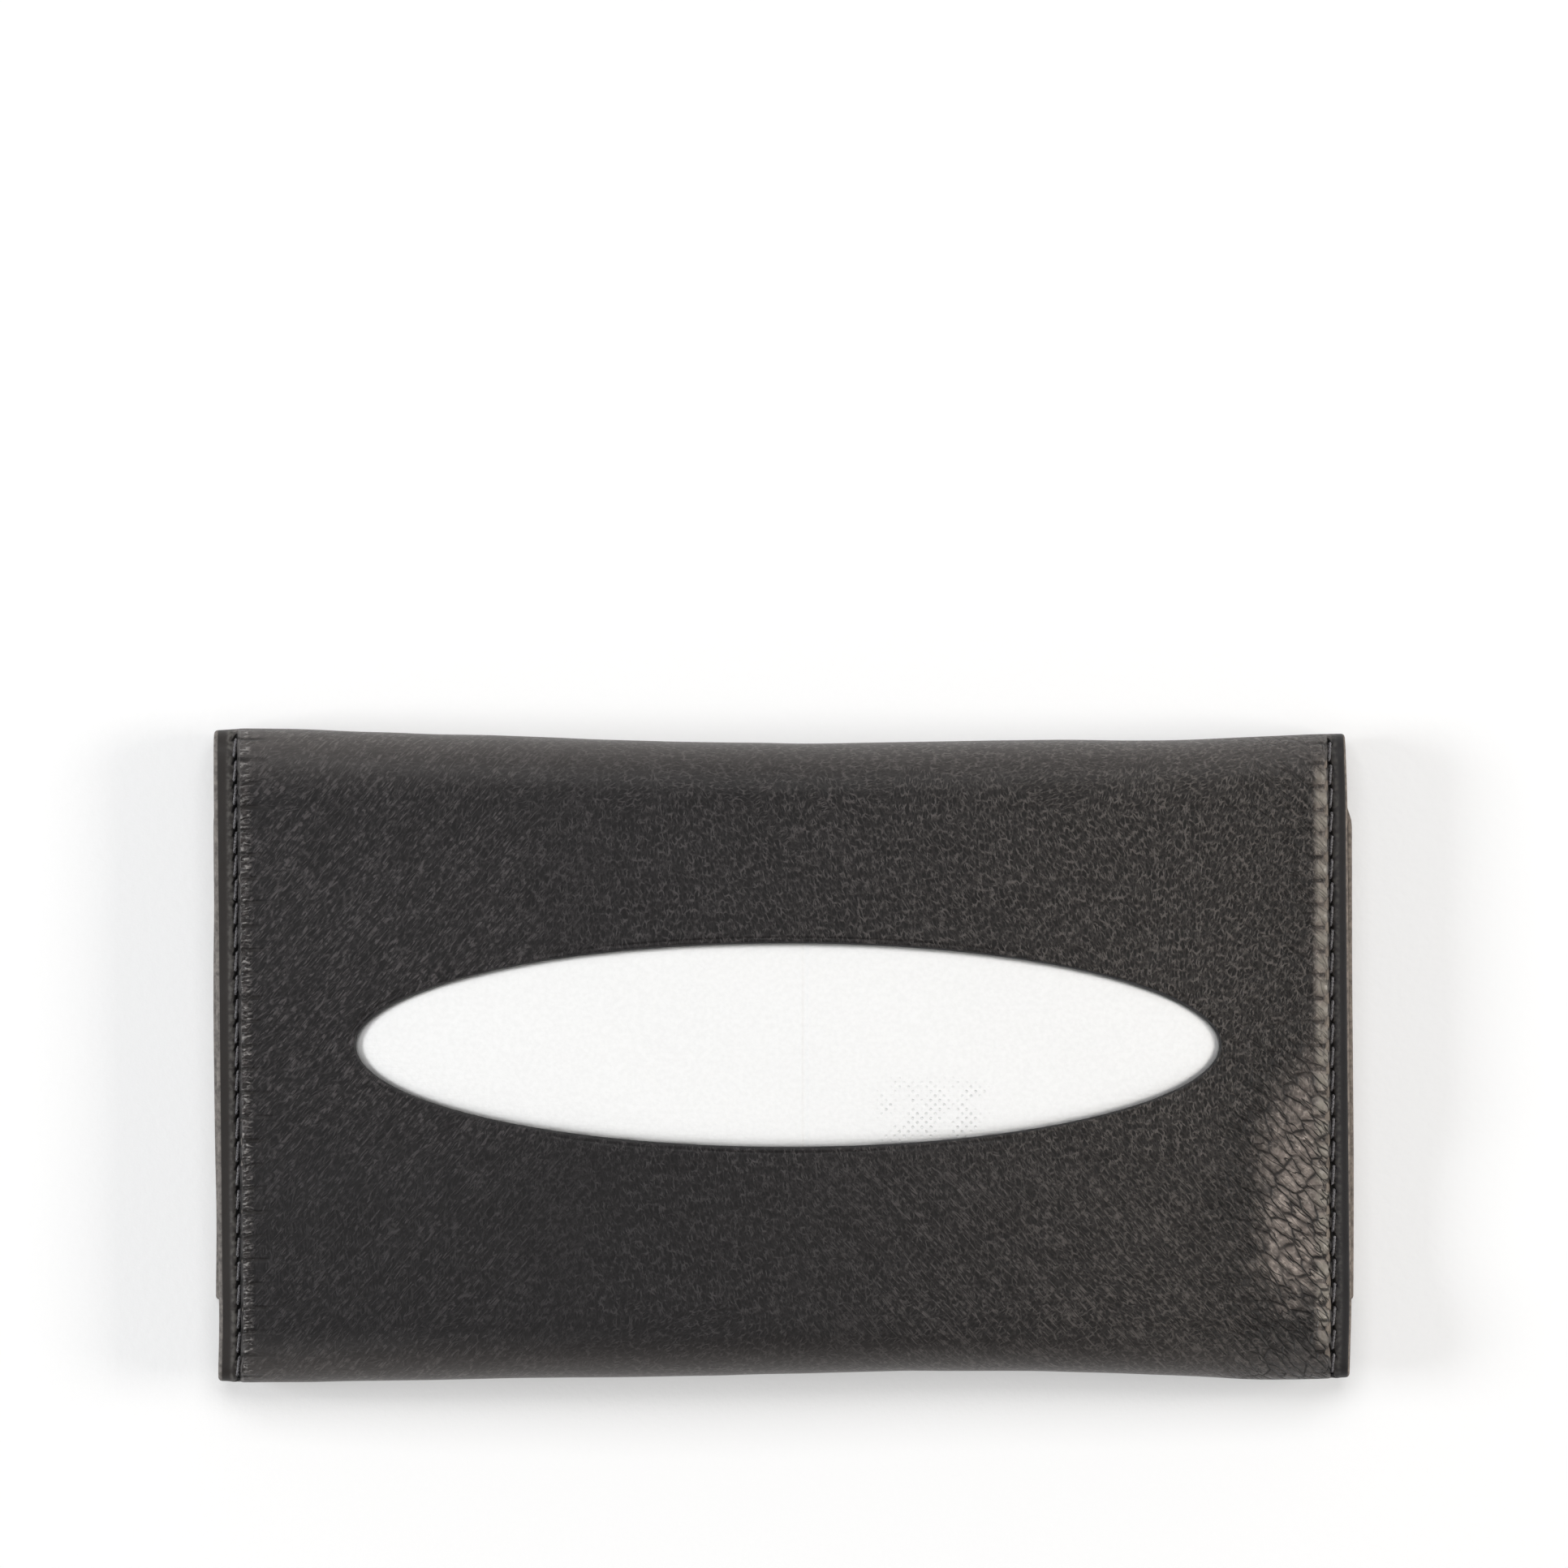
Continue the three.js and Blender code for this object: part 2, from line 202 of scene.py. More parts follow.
def light_studio():
    low = math.radians(27)
    high = math.radians(62)
    away = 1.5
    side_size = (0.6, 0.36)
    softbox("left_softbox", math.radians(180), low, away, side_size, 12, (0.96, 0.98, 1))
    softbox("right_softbox", 0, low, away, side_size, 10.6, (1, 0.96, 0.91))
    softbox("back_softbox", math.radians(90), high, away, (1.2, 0.8), 9.9, (1, 1, 1))
    world = bpy.data.worlds.new("studio")
    bpy.context.scene.world = world
    world.use_nodes = True
    tree = world.node_tree
    tree.nodes.clear()
    source = add_node(tree, "ShaderNodeTexCoord")
    way = add_node(tree, "ShaderNodeSeparateXYZ", {"Vector": source.outputs["Generated"]})
    lowness = maths(tree, "SUBTRACT", 1.0, maths(tree, "MAXIMUM", way.outputs["Z"], 0.0))
    level = maths(tree, "MULTIPLY_ADD", maths(tree, "POWER", lowness, 4.0), 1.3, 0.21)
    shade = add_node(tree, "ShaderNodeBackground", {"Strength": level})
    out = tree.nodes.new("ShaderNodeOutputWorld")
    tree.links.new(shade.outputs["Background"], out.inputs["Surface"])


# Small helpers for node trees
def feed(tree, socket, value):
    """Links a socket, or sets it where the value is plain."""
    if isinstance(value, bpy.types.NodeSocket):
        tree.links.new(value, socket)
    else:
        socket.default_value = value


def add_node(tree, kind, values=None, **settings):
    node = tree.nodes.new(kind)
    for name, value in settings.items():
        setattr(node, name, value)
    for name, value in (values or {}).items():
        feed(tree, node.inputs[name], value)
    return node


def maths(tree, operation, first, second=0.0, third=0.0):
    node = tree.nodes.new("ShaderNodeMath")
    node.operation = operation
    for socket, value in zip(node.inputs, (first, second, third)):
        feed(tree, socket, value)
    return node.outputs[0]


def product(tree, first, *others):
    for other in others:
        first = maths(tree, "MULTIPLY", first, other)
    return first


def vector_maths(tree, operation, *values):
    node = add_node(tree, "ShaderNodeVectorMath", operation=operation)
    sockets = (node.inputs[0], node.inputs["Scale"]) if operation == "SCALE" else node.inputs
    for socket, value in zip(sockets, values):
        feed(tree, socket, value)
    return node.outputs["Vector"]


def parts_of(tree, vector):
    outputs = add_node(tree, "ShaderNodeSeparateXYZ", {"Vector": vector}).outputs
    return outputs["X"], outputs["Y"]


def noise_node(tree, place, scale, detail=2.0, roughness=0.5, flat=False):
    values = {"Vector": place, "Scale": scale, "Detail": detail, "Roughness": roughness}
    return add_node(tree, "ShaderNodeTexNoise", values, noise_dimensions="2D" if flat else "3D").outputs


def cloud(tree, place, scale, detail=2.0, roughness=0.5, flat=False):
    """The grey value of a soft noise."""
    return noise_node(tree, place, scale, detail, roughness, flat)["Fac"]


def cell_edges(tree, place):
    """How far inside its cell a place lies, in a flat net of cells."""
    values = {"Vector": place, "Scale": 1.0}
    node = add_node(
        tree, "ShaderNodeTexVoronoi", values, feature="DISTANCE_TO_EDGE", voronoi_dimensions="2D"
    )
    return node.outputs["Distance"]


def turned_place(tree, place, degrees):
    values = {"Vector": place, "Rotation": (0, 0, math.radians(degrees))}
    return add_node(tree, "ShaderNodeMapping", values).outputs["Vector"]


def turned_back(tree, place, angle):
    """Turns a place against an angle that changes over the surface."""
    values = {"Vector": place, "Angle": maths(tree, "MULTIPLY", angle, -1.0)}
    return add_node(tree, "ShaderNodeVectorRotate", values, rotation_type="Z_AXIS").outputs["Vector"]


def built_height(tree, height, *layers):
    """Adds layers of (mask, height) to a height."""
    for mask, share in layers:
        height = maths(tree, "MULTIPLY_ADD", mask, share, height)
    return height


def ramp(tree, value, low, high, start=0.0, end=1.0):
    node = add_node(tree, "ShaderNodeMapRange", interpolation_type="SMOOTHSTEP")
    for name, number in zip(("From Min", "From Max", "To Min", "To Max"), (low, high, start, end)):
        node.inputs[name].default_value = number
    tree.links.new(value, node.inputs["Value"])
    return node.outputs["Result"]


def blend_values(tree, share, low, high):
    node = add_node(tree, "ShaderNodeMix", data_type="FLOAT")
    for number, value in zip((0, 2, 3), (share, low, high)):
        feed(tree, node.inputs[number], value)
    return node.outputs[0]


def blend_colours(tree, share, low, high):
    node = add_node(tree, "ShaderNodeMix", data_type="RGBA")
    for number, value in zip((0, 6, 7), (share, low, high)):
        feed(tree, node.inputs[number], (*value, 1) if isinstance(value, tuple) else value)
    return node.outputs[2]


def tint(tree, colour, mask, strength, tone):
    """Lays a tone over a colour where a mask is."""
    return blend_colours(tree, maths(tree, "MULTIPLY", mask, strength), colour, tone)


def new_group(name, inputs, outputs):
    tree = bpy.data.node_groups.new(name, "ShaderNodeTree")
    for label, kind, value in inputs:
        socket = tree.interface.new_socket(label, in_out="INPUT", socket_type=f"NodeSocket{kind}")
        if value is not None:
            socket.default_value = value
    for label, kind in outputs:
        tree.interface.new_socket(label, in_out="OUTPUT", socket_type=f"NodeSocket{kind}")
    return tree, tree.nodes.new("NodeGroupInput").outputs, tree.nodes.new("NodeGroupOutput").inputs


def use_group(tree, group, **values):
    node = tree.nodes.new("ShaderNodeGroup")
    node.node_tree = group
    for name, value in values.items():
        feed(tree, node.inputs[name.capitalize()], value)
    return node.outputs


def new_material(name):
    material = bpy.data.materials.new(name)
    material.use_nodes = True
    tree = material.node_tree
    tree.nodes.clear()
    shader = tree.nodes.new("ShaderNodeBsdfPrincipled")
    out = tree.nodes.new("ShaderNodeOutputMaterial")
    tree.links.new(shader.outputs["BSDF"], out.inputs["Surface"])
    return material, tree, shader.inputs


def add_bump(tree, sockets, height, distance):
    values = {"Height": height, "Distance": distance, "Strength": 1.0}
    node = add_node(tree, "ShaderNodeBump", values)
    tree.links.new(node.outputs["Normal"], sockets["Normal"])


def piece_coordinates(tree):
    """Millimetres in the part's own frame."""
    source = add_node(tree, "ShaderNodeTexCoord")
    return vector_maths(tree, "SCALE", source.outputs["Object"], 1 / MM)


def hide_coordinates(tree):
    """Millimetres along the case and round its hide, from the piece's own map."""
    cut = add_node(tree, "ShaderNodeUVMap", uv_map="cut")
    return vector_maths(tree, "SCALE", cut.outputs["UV"], 1 / MM)


# The way the grain runs at a place of the hide, turned from the long side
def make_way_group():
    tree, given, result = new_group("grain_way", [("Place", "Vector", None)], [("Angle", "Float")])
    x, y = parts_of(tree, given["Place"])
    leftness = ramp(tree, x, -52.0, -4.0, 1.0, 0.0)
    angle = maths(tree, "MULTIPLY_ADD", leftness, -math.radians(62), math.radians(106))
    raised = maths(tree, "MULTIPLY", ramp(tree, y, 6.0, 30.0), leftness)
    angle = maths(tree, "MULTIPLY_ADD", raised, math.radians(16), angle)
    lowness = ramp(tree, maths(tree, "MULTIPLY_ADD", y, -1.1, x), 40.0, 88.0)
    angle = maths(tree, "MULTIPLY_ADD", lowness, math.radians(38), angle)
    rightness = maths(tree, "MULTIPLY", ramp(tree, x, 42.0, 56.0), ramp(tree, y, -12.0, 4.0))
    angle = maths(tree, "MULTIPLY_ADD", rightness, -math.radians(34), angle)
    low_left = maths(tree, "MULTIPLY", ramp(tree, y, -22.0, -8.0, 1.0, 0.0), leftness)
    angle = maths(tree, "MULTIPLY_ADD", low_left, math.radians(48), angle)
    rolled = ramp(tree, maths(tree, "ABSOLUTE", y), *ROLL_FADE)
    angle = blend_values(tree, rolled, angle, math.radians(6))
    tree.links.new(angle, result["Angle"])
    return tree


def ridge_lines(tree, place, scale, width):
    """Thin winding lines, where a noise passes its middle value."""
    field = cloud(tree, vector_maths(tree, "MULTIPLY", place, scale), 1.0, roughness=0.6, flat=True)
    off = maths(tree, "ABSOLUTE", maths(tree, "SUBTRACT", field, 0.5))
    return ramp(tree, off, 0.0, width, 1.0, 0.0)


# Fine ridges that run their own way in each patch of the hide
def make_grain_group(way):
    tree, given, result = new_group(
        "patchy_grain", [("Place", "Vector", None), ("Patch", "Float", 8.0)],
        [("Ridge", "Float"), ("Inside", "Float")],
    )
    spot = vector_maths(tree, "SCALE", given["Place"], maths(tree, "DIVIDE", 1.0, given["Patch"]))
    cells = add_node(
        tree, "ShaderNodeTexVoronoi", {"Vector": spot, "Scale": 1.0}, feature="F1", voronoi_dimensions="2D"
    ).outputs
    centre = vector_maths(tree, "SCALE", cells["Position"], given["Patch"])
    random = add_node(tree, "ShaderNodeSeparateColor", {"Color": cells["Color"]})
    drawn_out = ramp(tree, parts_of(tree, centre)[0], -48.0, -22.0, 1.0, 0.0)
    spread = blend_values(tree, drawn_out, 0.42, 0.22)
    chance = maths(tree, "SUBTRACT", random.outputs["Red"], 0.5)
    angle = maths(tree, "MULTIPLY_ADD", chance, spread, use_group(tree, way, place=centre)["Angle"])

    # Each patch is turned its own way and moved to a part of the noise of its own
    turned = turned_back(tree, vector_maths(tree, "SUBTRACT", given["Place"], centre), angle)
    moved = vector_maths(tree, "MULTIPLY_ADD", cells["Color"], (50, 50, 50), turned)
    warp = noise_node(tree, moved, 1.2, flat=True)["Color"]
    bend = blend_values(tree, drawn_out, 0.55, 0.36)
    bending = add_node(tree, "ShaderNodeCombineXYZ", {"X": bend, "Y": bend})
    bent = vector_maths(tree, "MULTIPLY_ADD", warp, bending.outputs["Vector"], moved)
    stretch = add_node(tree, "ShaderNodeCombineXYZ", {
        "X": blend_values(tree, drawn_out, 0.84, 0.52), "Y": blend_values(tree, drawn_out, 1.9, 2.0),
    }).outputs["Vector"]
    pebbles = cell_edges(tree, vector_maths(tree, "MULTIPLY", bent, stretch))
    net = ramp(tree, pebbles, 0.02, 0.22, 1.0, 0.0)
    long_stretch = vector_maths(tree, "MULTIPLY", stretch, (0.55, 0.9, 1.0))
    lines = ridge_lines(tree, moved, long_stretch, 0.06)
    breaks = cloud(tree, given["Place"], 1.1, 3.0, 0.6, True)
    joined = maths(tree, "MAXIMUM", net, maths(tree, "MULTIPLY", lines, 0.8))
    ridge = maths(tree, "MULTIPLY", joined, ramp(tree, breaks, 0.38, 0.7, 0.16, 1.0))
    tree.links.new(ridge, result["Ridge"])
    tree.links.new(cell_edges(tree, spot), result["Inside"])
    return tree


# A net of dry creases that close round small fields of the hide
def make_crease_group():
    tree, given, result = new_group(
        "crease_net",
        [("Place", "Vector", None), ("Angle", "Float", 0.0),
         ("Width", "Float", 1.8), ("Length", "Float", 3.2)],
        [("Line", "Float"), ("Field", "Float")],
    )
    drift = noise_node(tree, given["Place"], 0.45)["Color"]
    wandered = vector_maths(tree, "MULTIPLY_ADD", drift, (0.9, 0.9, 0), given["Place"])
    x, y = parts_of(tree, turned_back(tree, wandered, given["Angle"]))
    along = maths(tree, "DIVIDE", x, given["Length"])
    across = maths(tree, "DIVIDE", y, given["Width"])
    drawn = add_node(tree, "ShaderNodeCombineXYZ", {"X": along, "Y": across})
    net = cell_edges(tree, drawn.outputs["Vector"])
    breaks = ramp(tree, cloud(tree, given["Place"], 0.5), 0.34, 0.54, 0.22, 1.0)
    line = maths(tree, "MULTIPLY", ramp(tree, net, 0.0, 0.09, 1.0, 0.0), breaks)
    tree.links.new(line, result["Line"])
    tree.links.new(ramp(tree, net, 0.0, 0.35), result["Field"])
    return tree


# Marks of a sewn seam on the hide round it: the pricked holes and the folds that they pull
def make_seam_group():
    tree, given, result = new_group(
        "sewn_marks",
        [("Place", "Vector", None), ("Seam", "Float", 0.0), ("Corner", "Float", 0.0),
         ("First", "Float", 0.0), ("Step", "Float", 1.0)],
        [("Hole", "Float"), ("Pull", "Float"), ("Count", "Float"), ("Inboard", "Float")],
    )
    x, y = parts_of(tree, given["Place"])
    inboard = maths(tree, "SUBTRACT", given["Seam"], maths(tree, "ABSOLUTE", x))
    run = maths(tree, "DIVIDE", maths(tree, "SUBTRACT", given["First"], y), given["Step"])
    offset = maths(tree, "SUBTRACT", run, maths(tree, "ROUND", run))
    beside = maths(tree, "ABSOLUTE", offset)
    slanted = maths(tree, "ADD", offset, inboard)
    near = ramp(tree, maths(tree, "ABSOLUTE", slanted), 0.16, 0.38, 1.0, 0.0)
    hole = maths(tree, "MULTIPLY", near, ramp(tree, beside, 0.18, 0.3, 1.0, 0.0))
    wander = cloud(tree, given["Place"], 0.5, 1.0)
    reach_in = ramp(tree, maths(tree, "MULTIPLY_ADD", wander, 6.0, given["Corner"]), -0.6, 3.0)
    crease = ramp(tree, beside, 0.03, 0.12, 1.0, 0.0)
    pull = product(tree, crease, reach_in, ramp(tree, inboard, -0.4, 0.1))
    for name, value in (("Hole", hole), ("Pull", pull), ("Count", run), ("Inboard", inboard)):
        tree.links.new(value, result[name])
    return tree


# The finish of each material
def make_leather(grain, crease_net, seam_marks, seams):
    material, tree, skin = new_material("black_leather")
    place = hide_coordinates(tree)
    x, y = parts_of(tree, place)
    from_middle = maths(tree, "ABSOLUTE", y)

    # The finest grain, from two sets of patches, each laid over the lines where the other's patches meet
    under = use_group(tree, grain, place=vector_maths(tree, "ADD", place, (3.7, 2.9, 0)), patch=9.0)
    over = use_group(tree, grain, place=place, patch=7.5)
    ridge = blend_values(tree, ramp(tree, over["Inside"], 0.02, 0.14), under["Ridge"], over["Ridge"])

    # The seam on this side, and how far past the front's corner a place lies
    right = maths(tree, "GREATER_THAN", x, 0.0)
    sides = (("left", -1), ("right", 1))

    def on_side(values):
        return blend_values(tree, right, *values)

    corners = [abs(float(girth(side * CORNER_END[name]))) / MM for name, side in sides]
    past = maths(tree, "SUBTRACT", maths(tree, "ABSOLUTE", x), on_side(corners))
    marks = use_group(
        tree, seam_marks, place=place, corner=past,
        seam=on_side([abs(float(girth(seams[name].x))) / MM for name, side in sides]),
        first=on_side([seams[name].first / MM for name, side in sides]),
        step=on_side([seams[name].step / MM for name, side in sides]),
    )
    strip = ramp(tree, marks["Inboard"], -0.6, -0.3, 1.0, 0.0)
    rolled = ramp(tree, from_middle, *ROLL_FADE)
    calm = maths(tree, "MULTIPLY_ADD", rolled, -0.35, 1.0)
    calm = maths(tree, "MULTIPLY", calm, maths(tree, "MULTIPLY_ADD", strip, -0.85, 1.0))
    ridge = product(tree, ridge, calm, ramp(tree, x, -30.0, 66.0, 0.8, 1.25))

    # The lower right end, lightened by painted highlight for the glow of light on its hollow and crossed
    # by dry creases, and the painted highlights on the swells along the seam
    inboard = ramp(tree, past, 0.3, 1.0, 1.0, 0.0)
    wobble = maths(tree, "MULTIPLY_ADD", cloud(tree, place, 0.22, 3.0), 9.0, -4.5)
    edge_x = maths(tree, "ADD", x, wobble)
    edge_y = maths(tree, "ADD", y, wobble)
    slope = maths(tree, "MULTIPLY_ADD", x, -1.1, edge_y)
    painted_glow = product(
        tree, ramp(tree, edge_x, 56.8, 62.0), ramp(tree, slope, -67.0, -80.0),
        ramp(tree, edge_y, -32.5, -26.5), inboard,
        ramp(tree, cloud(tree, place, 0.7), 0.34, 0.58, 0.5, 1.1),
    )
    sewn = ramp(tree, from_middle, 33.0, 38.0, 1.0, 0.0)
    beside_seam = on_side([ramp(tree, past, -1.2, -0.6), ramp(tree, past, -2.1, -1.1)])
    on_swell = product(tree, beside_seam, inboard, sewn)
    # Painted highlight: the swells beside the seam are lightened, standing in for the lamps' highlight on
    # the front's turned corner, strongest on the right.
    swell = maths(tree, "MULTIPLY", on_swell, on_side([0.08, 0.9]))
    painted_highlight = maths(tree, "MAXIMUM", maths(tree, "MULTIPLY", painted_glow, 0.9), swell)
    creased = use_group(tree, crease_net, place=place, angle=math.radians(-50), width=1.3, length=3.6)
    long_creases = ridge_lines(tree, turned_place(tree, place, 44), (0.13, 0.7, 1.0), 0.024)
    creases = maths(tree, "MAXIMUM", creased["Line"], long_creases)
    creased_end = product(
        tree, ramp(tree, edge_x, 50.0, 62.0), ramp(tree, edge_y, 6.0, -8.0, 0.35, 1.0), inboard
    )
    crease = maths(tree, "MULTIPLY", creases, creased_end)
    puffed = maths(tree, "MULTIPLY", creased["Field"], creased_end)
    beat = maths(tree, "COSINE", maths(tree, "MULTIPLY", marks["Count"], 2 * math.pi))
    beat = maths(tree, "POWER", maths(tree, "MULTIPLY_ADD", beat, -0.5, 0.5), 0.6)
    beads = product(tree, beat, on_swell, right)

    # Long broken lines: they rise at the left end and fall at the lower right
    falling = ridge_lines(tree, turned_place(tree, place, 48), (0.13, 1.1, 1.0), 0.07)
    falling_part = maths(tree, "MULTIPLY", ramp(tree, x, -8.0, 16.0), ramp(tree, y, -8.0, -17.0))
    rising = ridge_lines(tree, turned_place(tree, place, -50), (0.14, 1.2, 1.0), 0.07)
    rising_part = ramp(tree, x, -16.0, -36.0)
    drawn = maths(tree, "MAXIMUM", maths(tree, "MULTIPLY", falling, falling_part),
                  maths(tree, "MULTIPLY", rising, rising_part))
    drawn = product(tree, drawn, ramp(tree, cloud(tree, place, 1.4), 0.4, 0.6, 0.1, 1.0), calm, 0.95)
    part = maths(tree, "MAXIMUM", falling_part, rising_part)
    thinned = maths(tree, "MULTIPLY", ridge, maths(tree, "MULTIPLY_ADD", part, -0.3, 1.0))
    lit = maths(tree, "MAXIMUM", thinned, drawn)

    # Fine puckers along the left seam
    puckers = cloud(tree, vector_maths(tree, "MULTIPLY", place, (0.7, 1.5, 1.0)), 1.0)
    near_left = product(
        tree, ramp(tree, past, -1.6, -0.7), maths(tree, "SUBTRACT", 1.0, right),
        ramp(tree, past, 0.2, 0.9, 1.0, 0.0),
    )
    swerve = maths(tree, "MULTIPLY_ADD", puckers, 16.0, maths(tree, "MULTIPLY", past, 1.6))
    strokes = maths(tree, "SINE", maths(tree, "MULTIPLY_ADD", y, 2 * math.pi / 0.7, swerve))
    specks = cloud(tree, place, 1.5)
    glints = product(
        tree, ramp(tree, strokes, 0.0, 0.9), ramp(tree, specks, 0.4, 0.62, 0.12, 1.0), near_left
    )

    height = maths(tree, "MULTIPLY_ADD", cloud(tree, place, 0.35), 0.7, maths(tree, "MULTIPLY", lit, 0.36))
    height = built_height(
        tree, height, (maths(tree, "MULTIPLY", puckers, near_left), 2.0), (glints, 1.2), (puffed, 1.3),
        (beads, 1.6), (crease, -1.8), (marks["Pull"], -1.2), (marks["Hole"], -2.0),
    )
    add_bump(tree, skin, height, 0.12 * MM)

    # Colours, from the ground of the hide up to its marks
    # Painted light: the hide is warmer and lighter towards the right, standing in for the warm right lamp
    # and the cool left one.
    tone = ramp(tree, x, -30.0, 60.0)
    dark = blend_colours(tree, tone, (0.0058, 0.0049, 0.0053), (0.0072, 0.0058, 0.0052))
    light = blend_colours(tree, tone, (0.072, 0.0645, 0.0655), (0.095, 0.083, 0.0755))
    low_left = maths(tree, "MULTIPLY", ramp(tree, y, -2.0, -18.0), ramp(tree, x, 52.0, -30.0, 0.0, 0.75))
    light = blend_colours(tree, low_left, light, (0.036, 0.0325, 0.034))
    # The grain's ridges and drawn lines are lighter than its ground: partly the hide's own rubbed tops,
    # partly painted highlight where the side lamps catch their slopes.
    colour = blend_colours(tree, lit, dark, light)
    # Painted sheen: the rolled folds at top and bottom are lightened towards their edges, standing in for
    # the bright grazing reflection of the surroundings on them.
    roll_sheen_mask = maths(tree, "MAXIMUM", ramp(tree, y, 31.5, 42.0), ramp(tree, y, -33.2, -42.6))
    roll_sheen_colour = blend_colours(tree, lit, (0.104, 0.095, 0.0905), (0.245, 0.223, 0.212))
    colour = tint(tree, colour, roll_sheen_mask, 0.75, roll_sheen_colour)
    # Painted highlight: the beige of the lower right end stands in for the glow of light on its hollow. It
    # is painted darker near the creases, as painted shade round each small field.
    painted_glow_colour = blend_colours(tree, lit, (0.19, 0.158, 0.14), (0.43, 0.37, 0.325))
    field = maths(tree, "MULTIPLY_ADD", creased["Field"], 0.6, 0.4)
    painted_glow_colour = blend_colours(tree, field, (0.045, 0.036, 0.032), painted_glow_colour)
    # Painted highlight: the pillows between the right stitches are lightened where light catches their
    # tops.
    painted_glow_colour = blend_colours(tree, beads, painted_glow_colour, (0.26, 0.235, 0.2))
    colour = blend_colours(tree, painted_highlight, colour, painted_glow_colour)
    # Painted highlight: glints tinted into the puckers along the left seam.
    colour = tint(tree, colour, glints, 0.85, (0.3, 0.285, 0.275))
    strip_colour = blend_colours(tree, right, (0.031, 0.0265, 0.0245), (0.021, 0.0195, 0.0205))
    colour = blend_colours(tree, strip, colour, strip_colour)
    # Painted highlight: the ridge just outside the stitches is lightened in specks where the side lamp
    # catches it, stronger on the left.
    outer_ridge_highlight = product(
        tree, ramp(tree, marks["Inboard"], -1.3, -0.8),
        ramp(tree, marks["Inboard"], -0.45, -0.25, 1.0, 0.0),
        ramp(tree, specks, 0.38, 0.66, 0.1, 1.0), on_side([1.0, 0.5]),
    )
    colour = tint(tree, colour, outer_ridge_highlight, 0.85, (0.115, 0.108, 0.099))
    # Painted shade: the creases and the folds pulled from the stitches are darkened where shade falls in
    # them.
    colour = tint(tree, colour, crease, 0.92, (0.009, 0.007, 0.006))
    colour = tint(tree, colour, marks["Pull"], 0.85, (0.009, 0.007, 0.006))
    # Painted shade: the stitch holes, only shallow dimples in the mesh, are painted near black.
    colour = blend_colours(tree, marks["Hole"], colour, (0.003, 0.003, 0.003))
    tree.links.new(colour, skin["Base Color"])
    roughness = blend_values(tree, lit, 0.54, 0.44)
    tree.links.new(blend_values(tree, on_swell, roughness, 0.3), skin["Roughness"])
    skin["Specular IOR Level"].default_value = 0.3
    skin["Sheen Weight"].default_value = 0.08
    skin["Sheen Roughness"].default_value = 0.35
    return material


def make_raw_leather(name, dark, light):
    """Cut edges and the flesh side, where the fibres show."""
    material, tree, skin = new_material(name)
    place = piece_coordinates(tree)
    fibres = cloud(tree, place, 1.6, 4.0, 0.65)
    mottled = maths(tree, "MULTIPLY_ADD", cloud(tree, place, 0.5, 1.0), 0.5, fibres)
    colour = blend_colours(tree, ramp(tree, mottled, 0.5, 1.0), dark, light)
    # Painted light: the left half of these edges is greyed, standing in for the cool light of the left
    # lamp.
    on_left = maths(tree, "LESS_THAN", parts_of(tree, place)[0], 0.0)
    grey = maths(tree, "MULTIPLY", on_left, 0.45)
    greyed = add_node(tree, "ShaderNodeRGBToBW", {"Color": colour})
    tree.links.new(blend_colours(tree, grey, colour, greyed.outputs["Val"]), skin["Base Color"])
    skin["Roughness"].default_value = 0.75
    add_bump(tree, skin, fibres, 0.1 * MM)
    return material


def rib_wave(tree, place, pitch):
    """Rounded ribs, a pitch apart."""
    return maths(tree, "ABSOLUTE", maths(tree, "SINE", maths(tree, "MULTIPLY", place, math.pi / pitch)))


def make_lining():
    material, tree, skin = new_material("black_twill")
    place = hide_coordinates(tree)
    x, y = parts_of(tree, place)
    ribs = rib_wave(tree, maths(tree, "ADD", x, y), 0.5)
    yarns = rib_wave(tree, y, 0.25)
    weave = maths(tree, "MULTIPLY_ADD", yarns, 0.4, ribs)
    lit = maths(tree, "MULTIPLY", weave, cloud(tree, place, 0.2, 3.0))
    colour = blend_colours(tree, lit, (0.008, 0.008, 0.009), (0.04, 0.038, 0.038))
    tree.links.new(colour, skin["Base Color"])
    skin["Roughness"].default_value = 0.8
    skin["Sheen Weight"].default_value = 0.2
    add_bump(tree, skin, weave, 0.06 * MM)
    return material


def make_thread():
    material, tree, skin = new_material("waxed_thread")
    place = piece_coordinates(tree)
    fibres = cloud(tree, place, 6.0, 3.0)
    lit = ramp(tree, fibres, 0.35, 0.7)
    tree.links.new(blend_colours(tree, lit, (0.06, 0.058, 0.062), (0.26, 0.25, 0.26)), skin["Base Color"])
    skin["Roughness"].default_value = 0.36
    add_bump(tree, skin, fibres, 0.05 * MM)
    return material


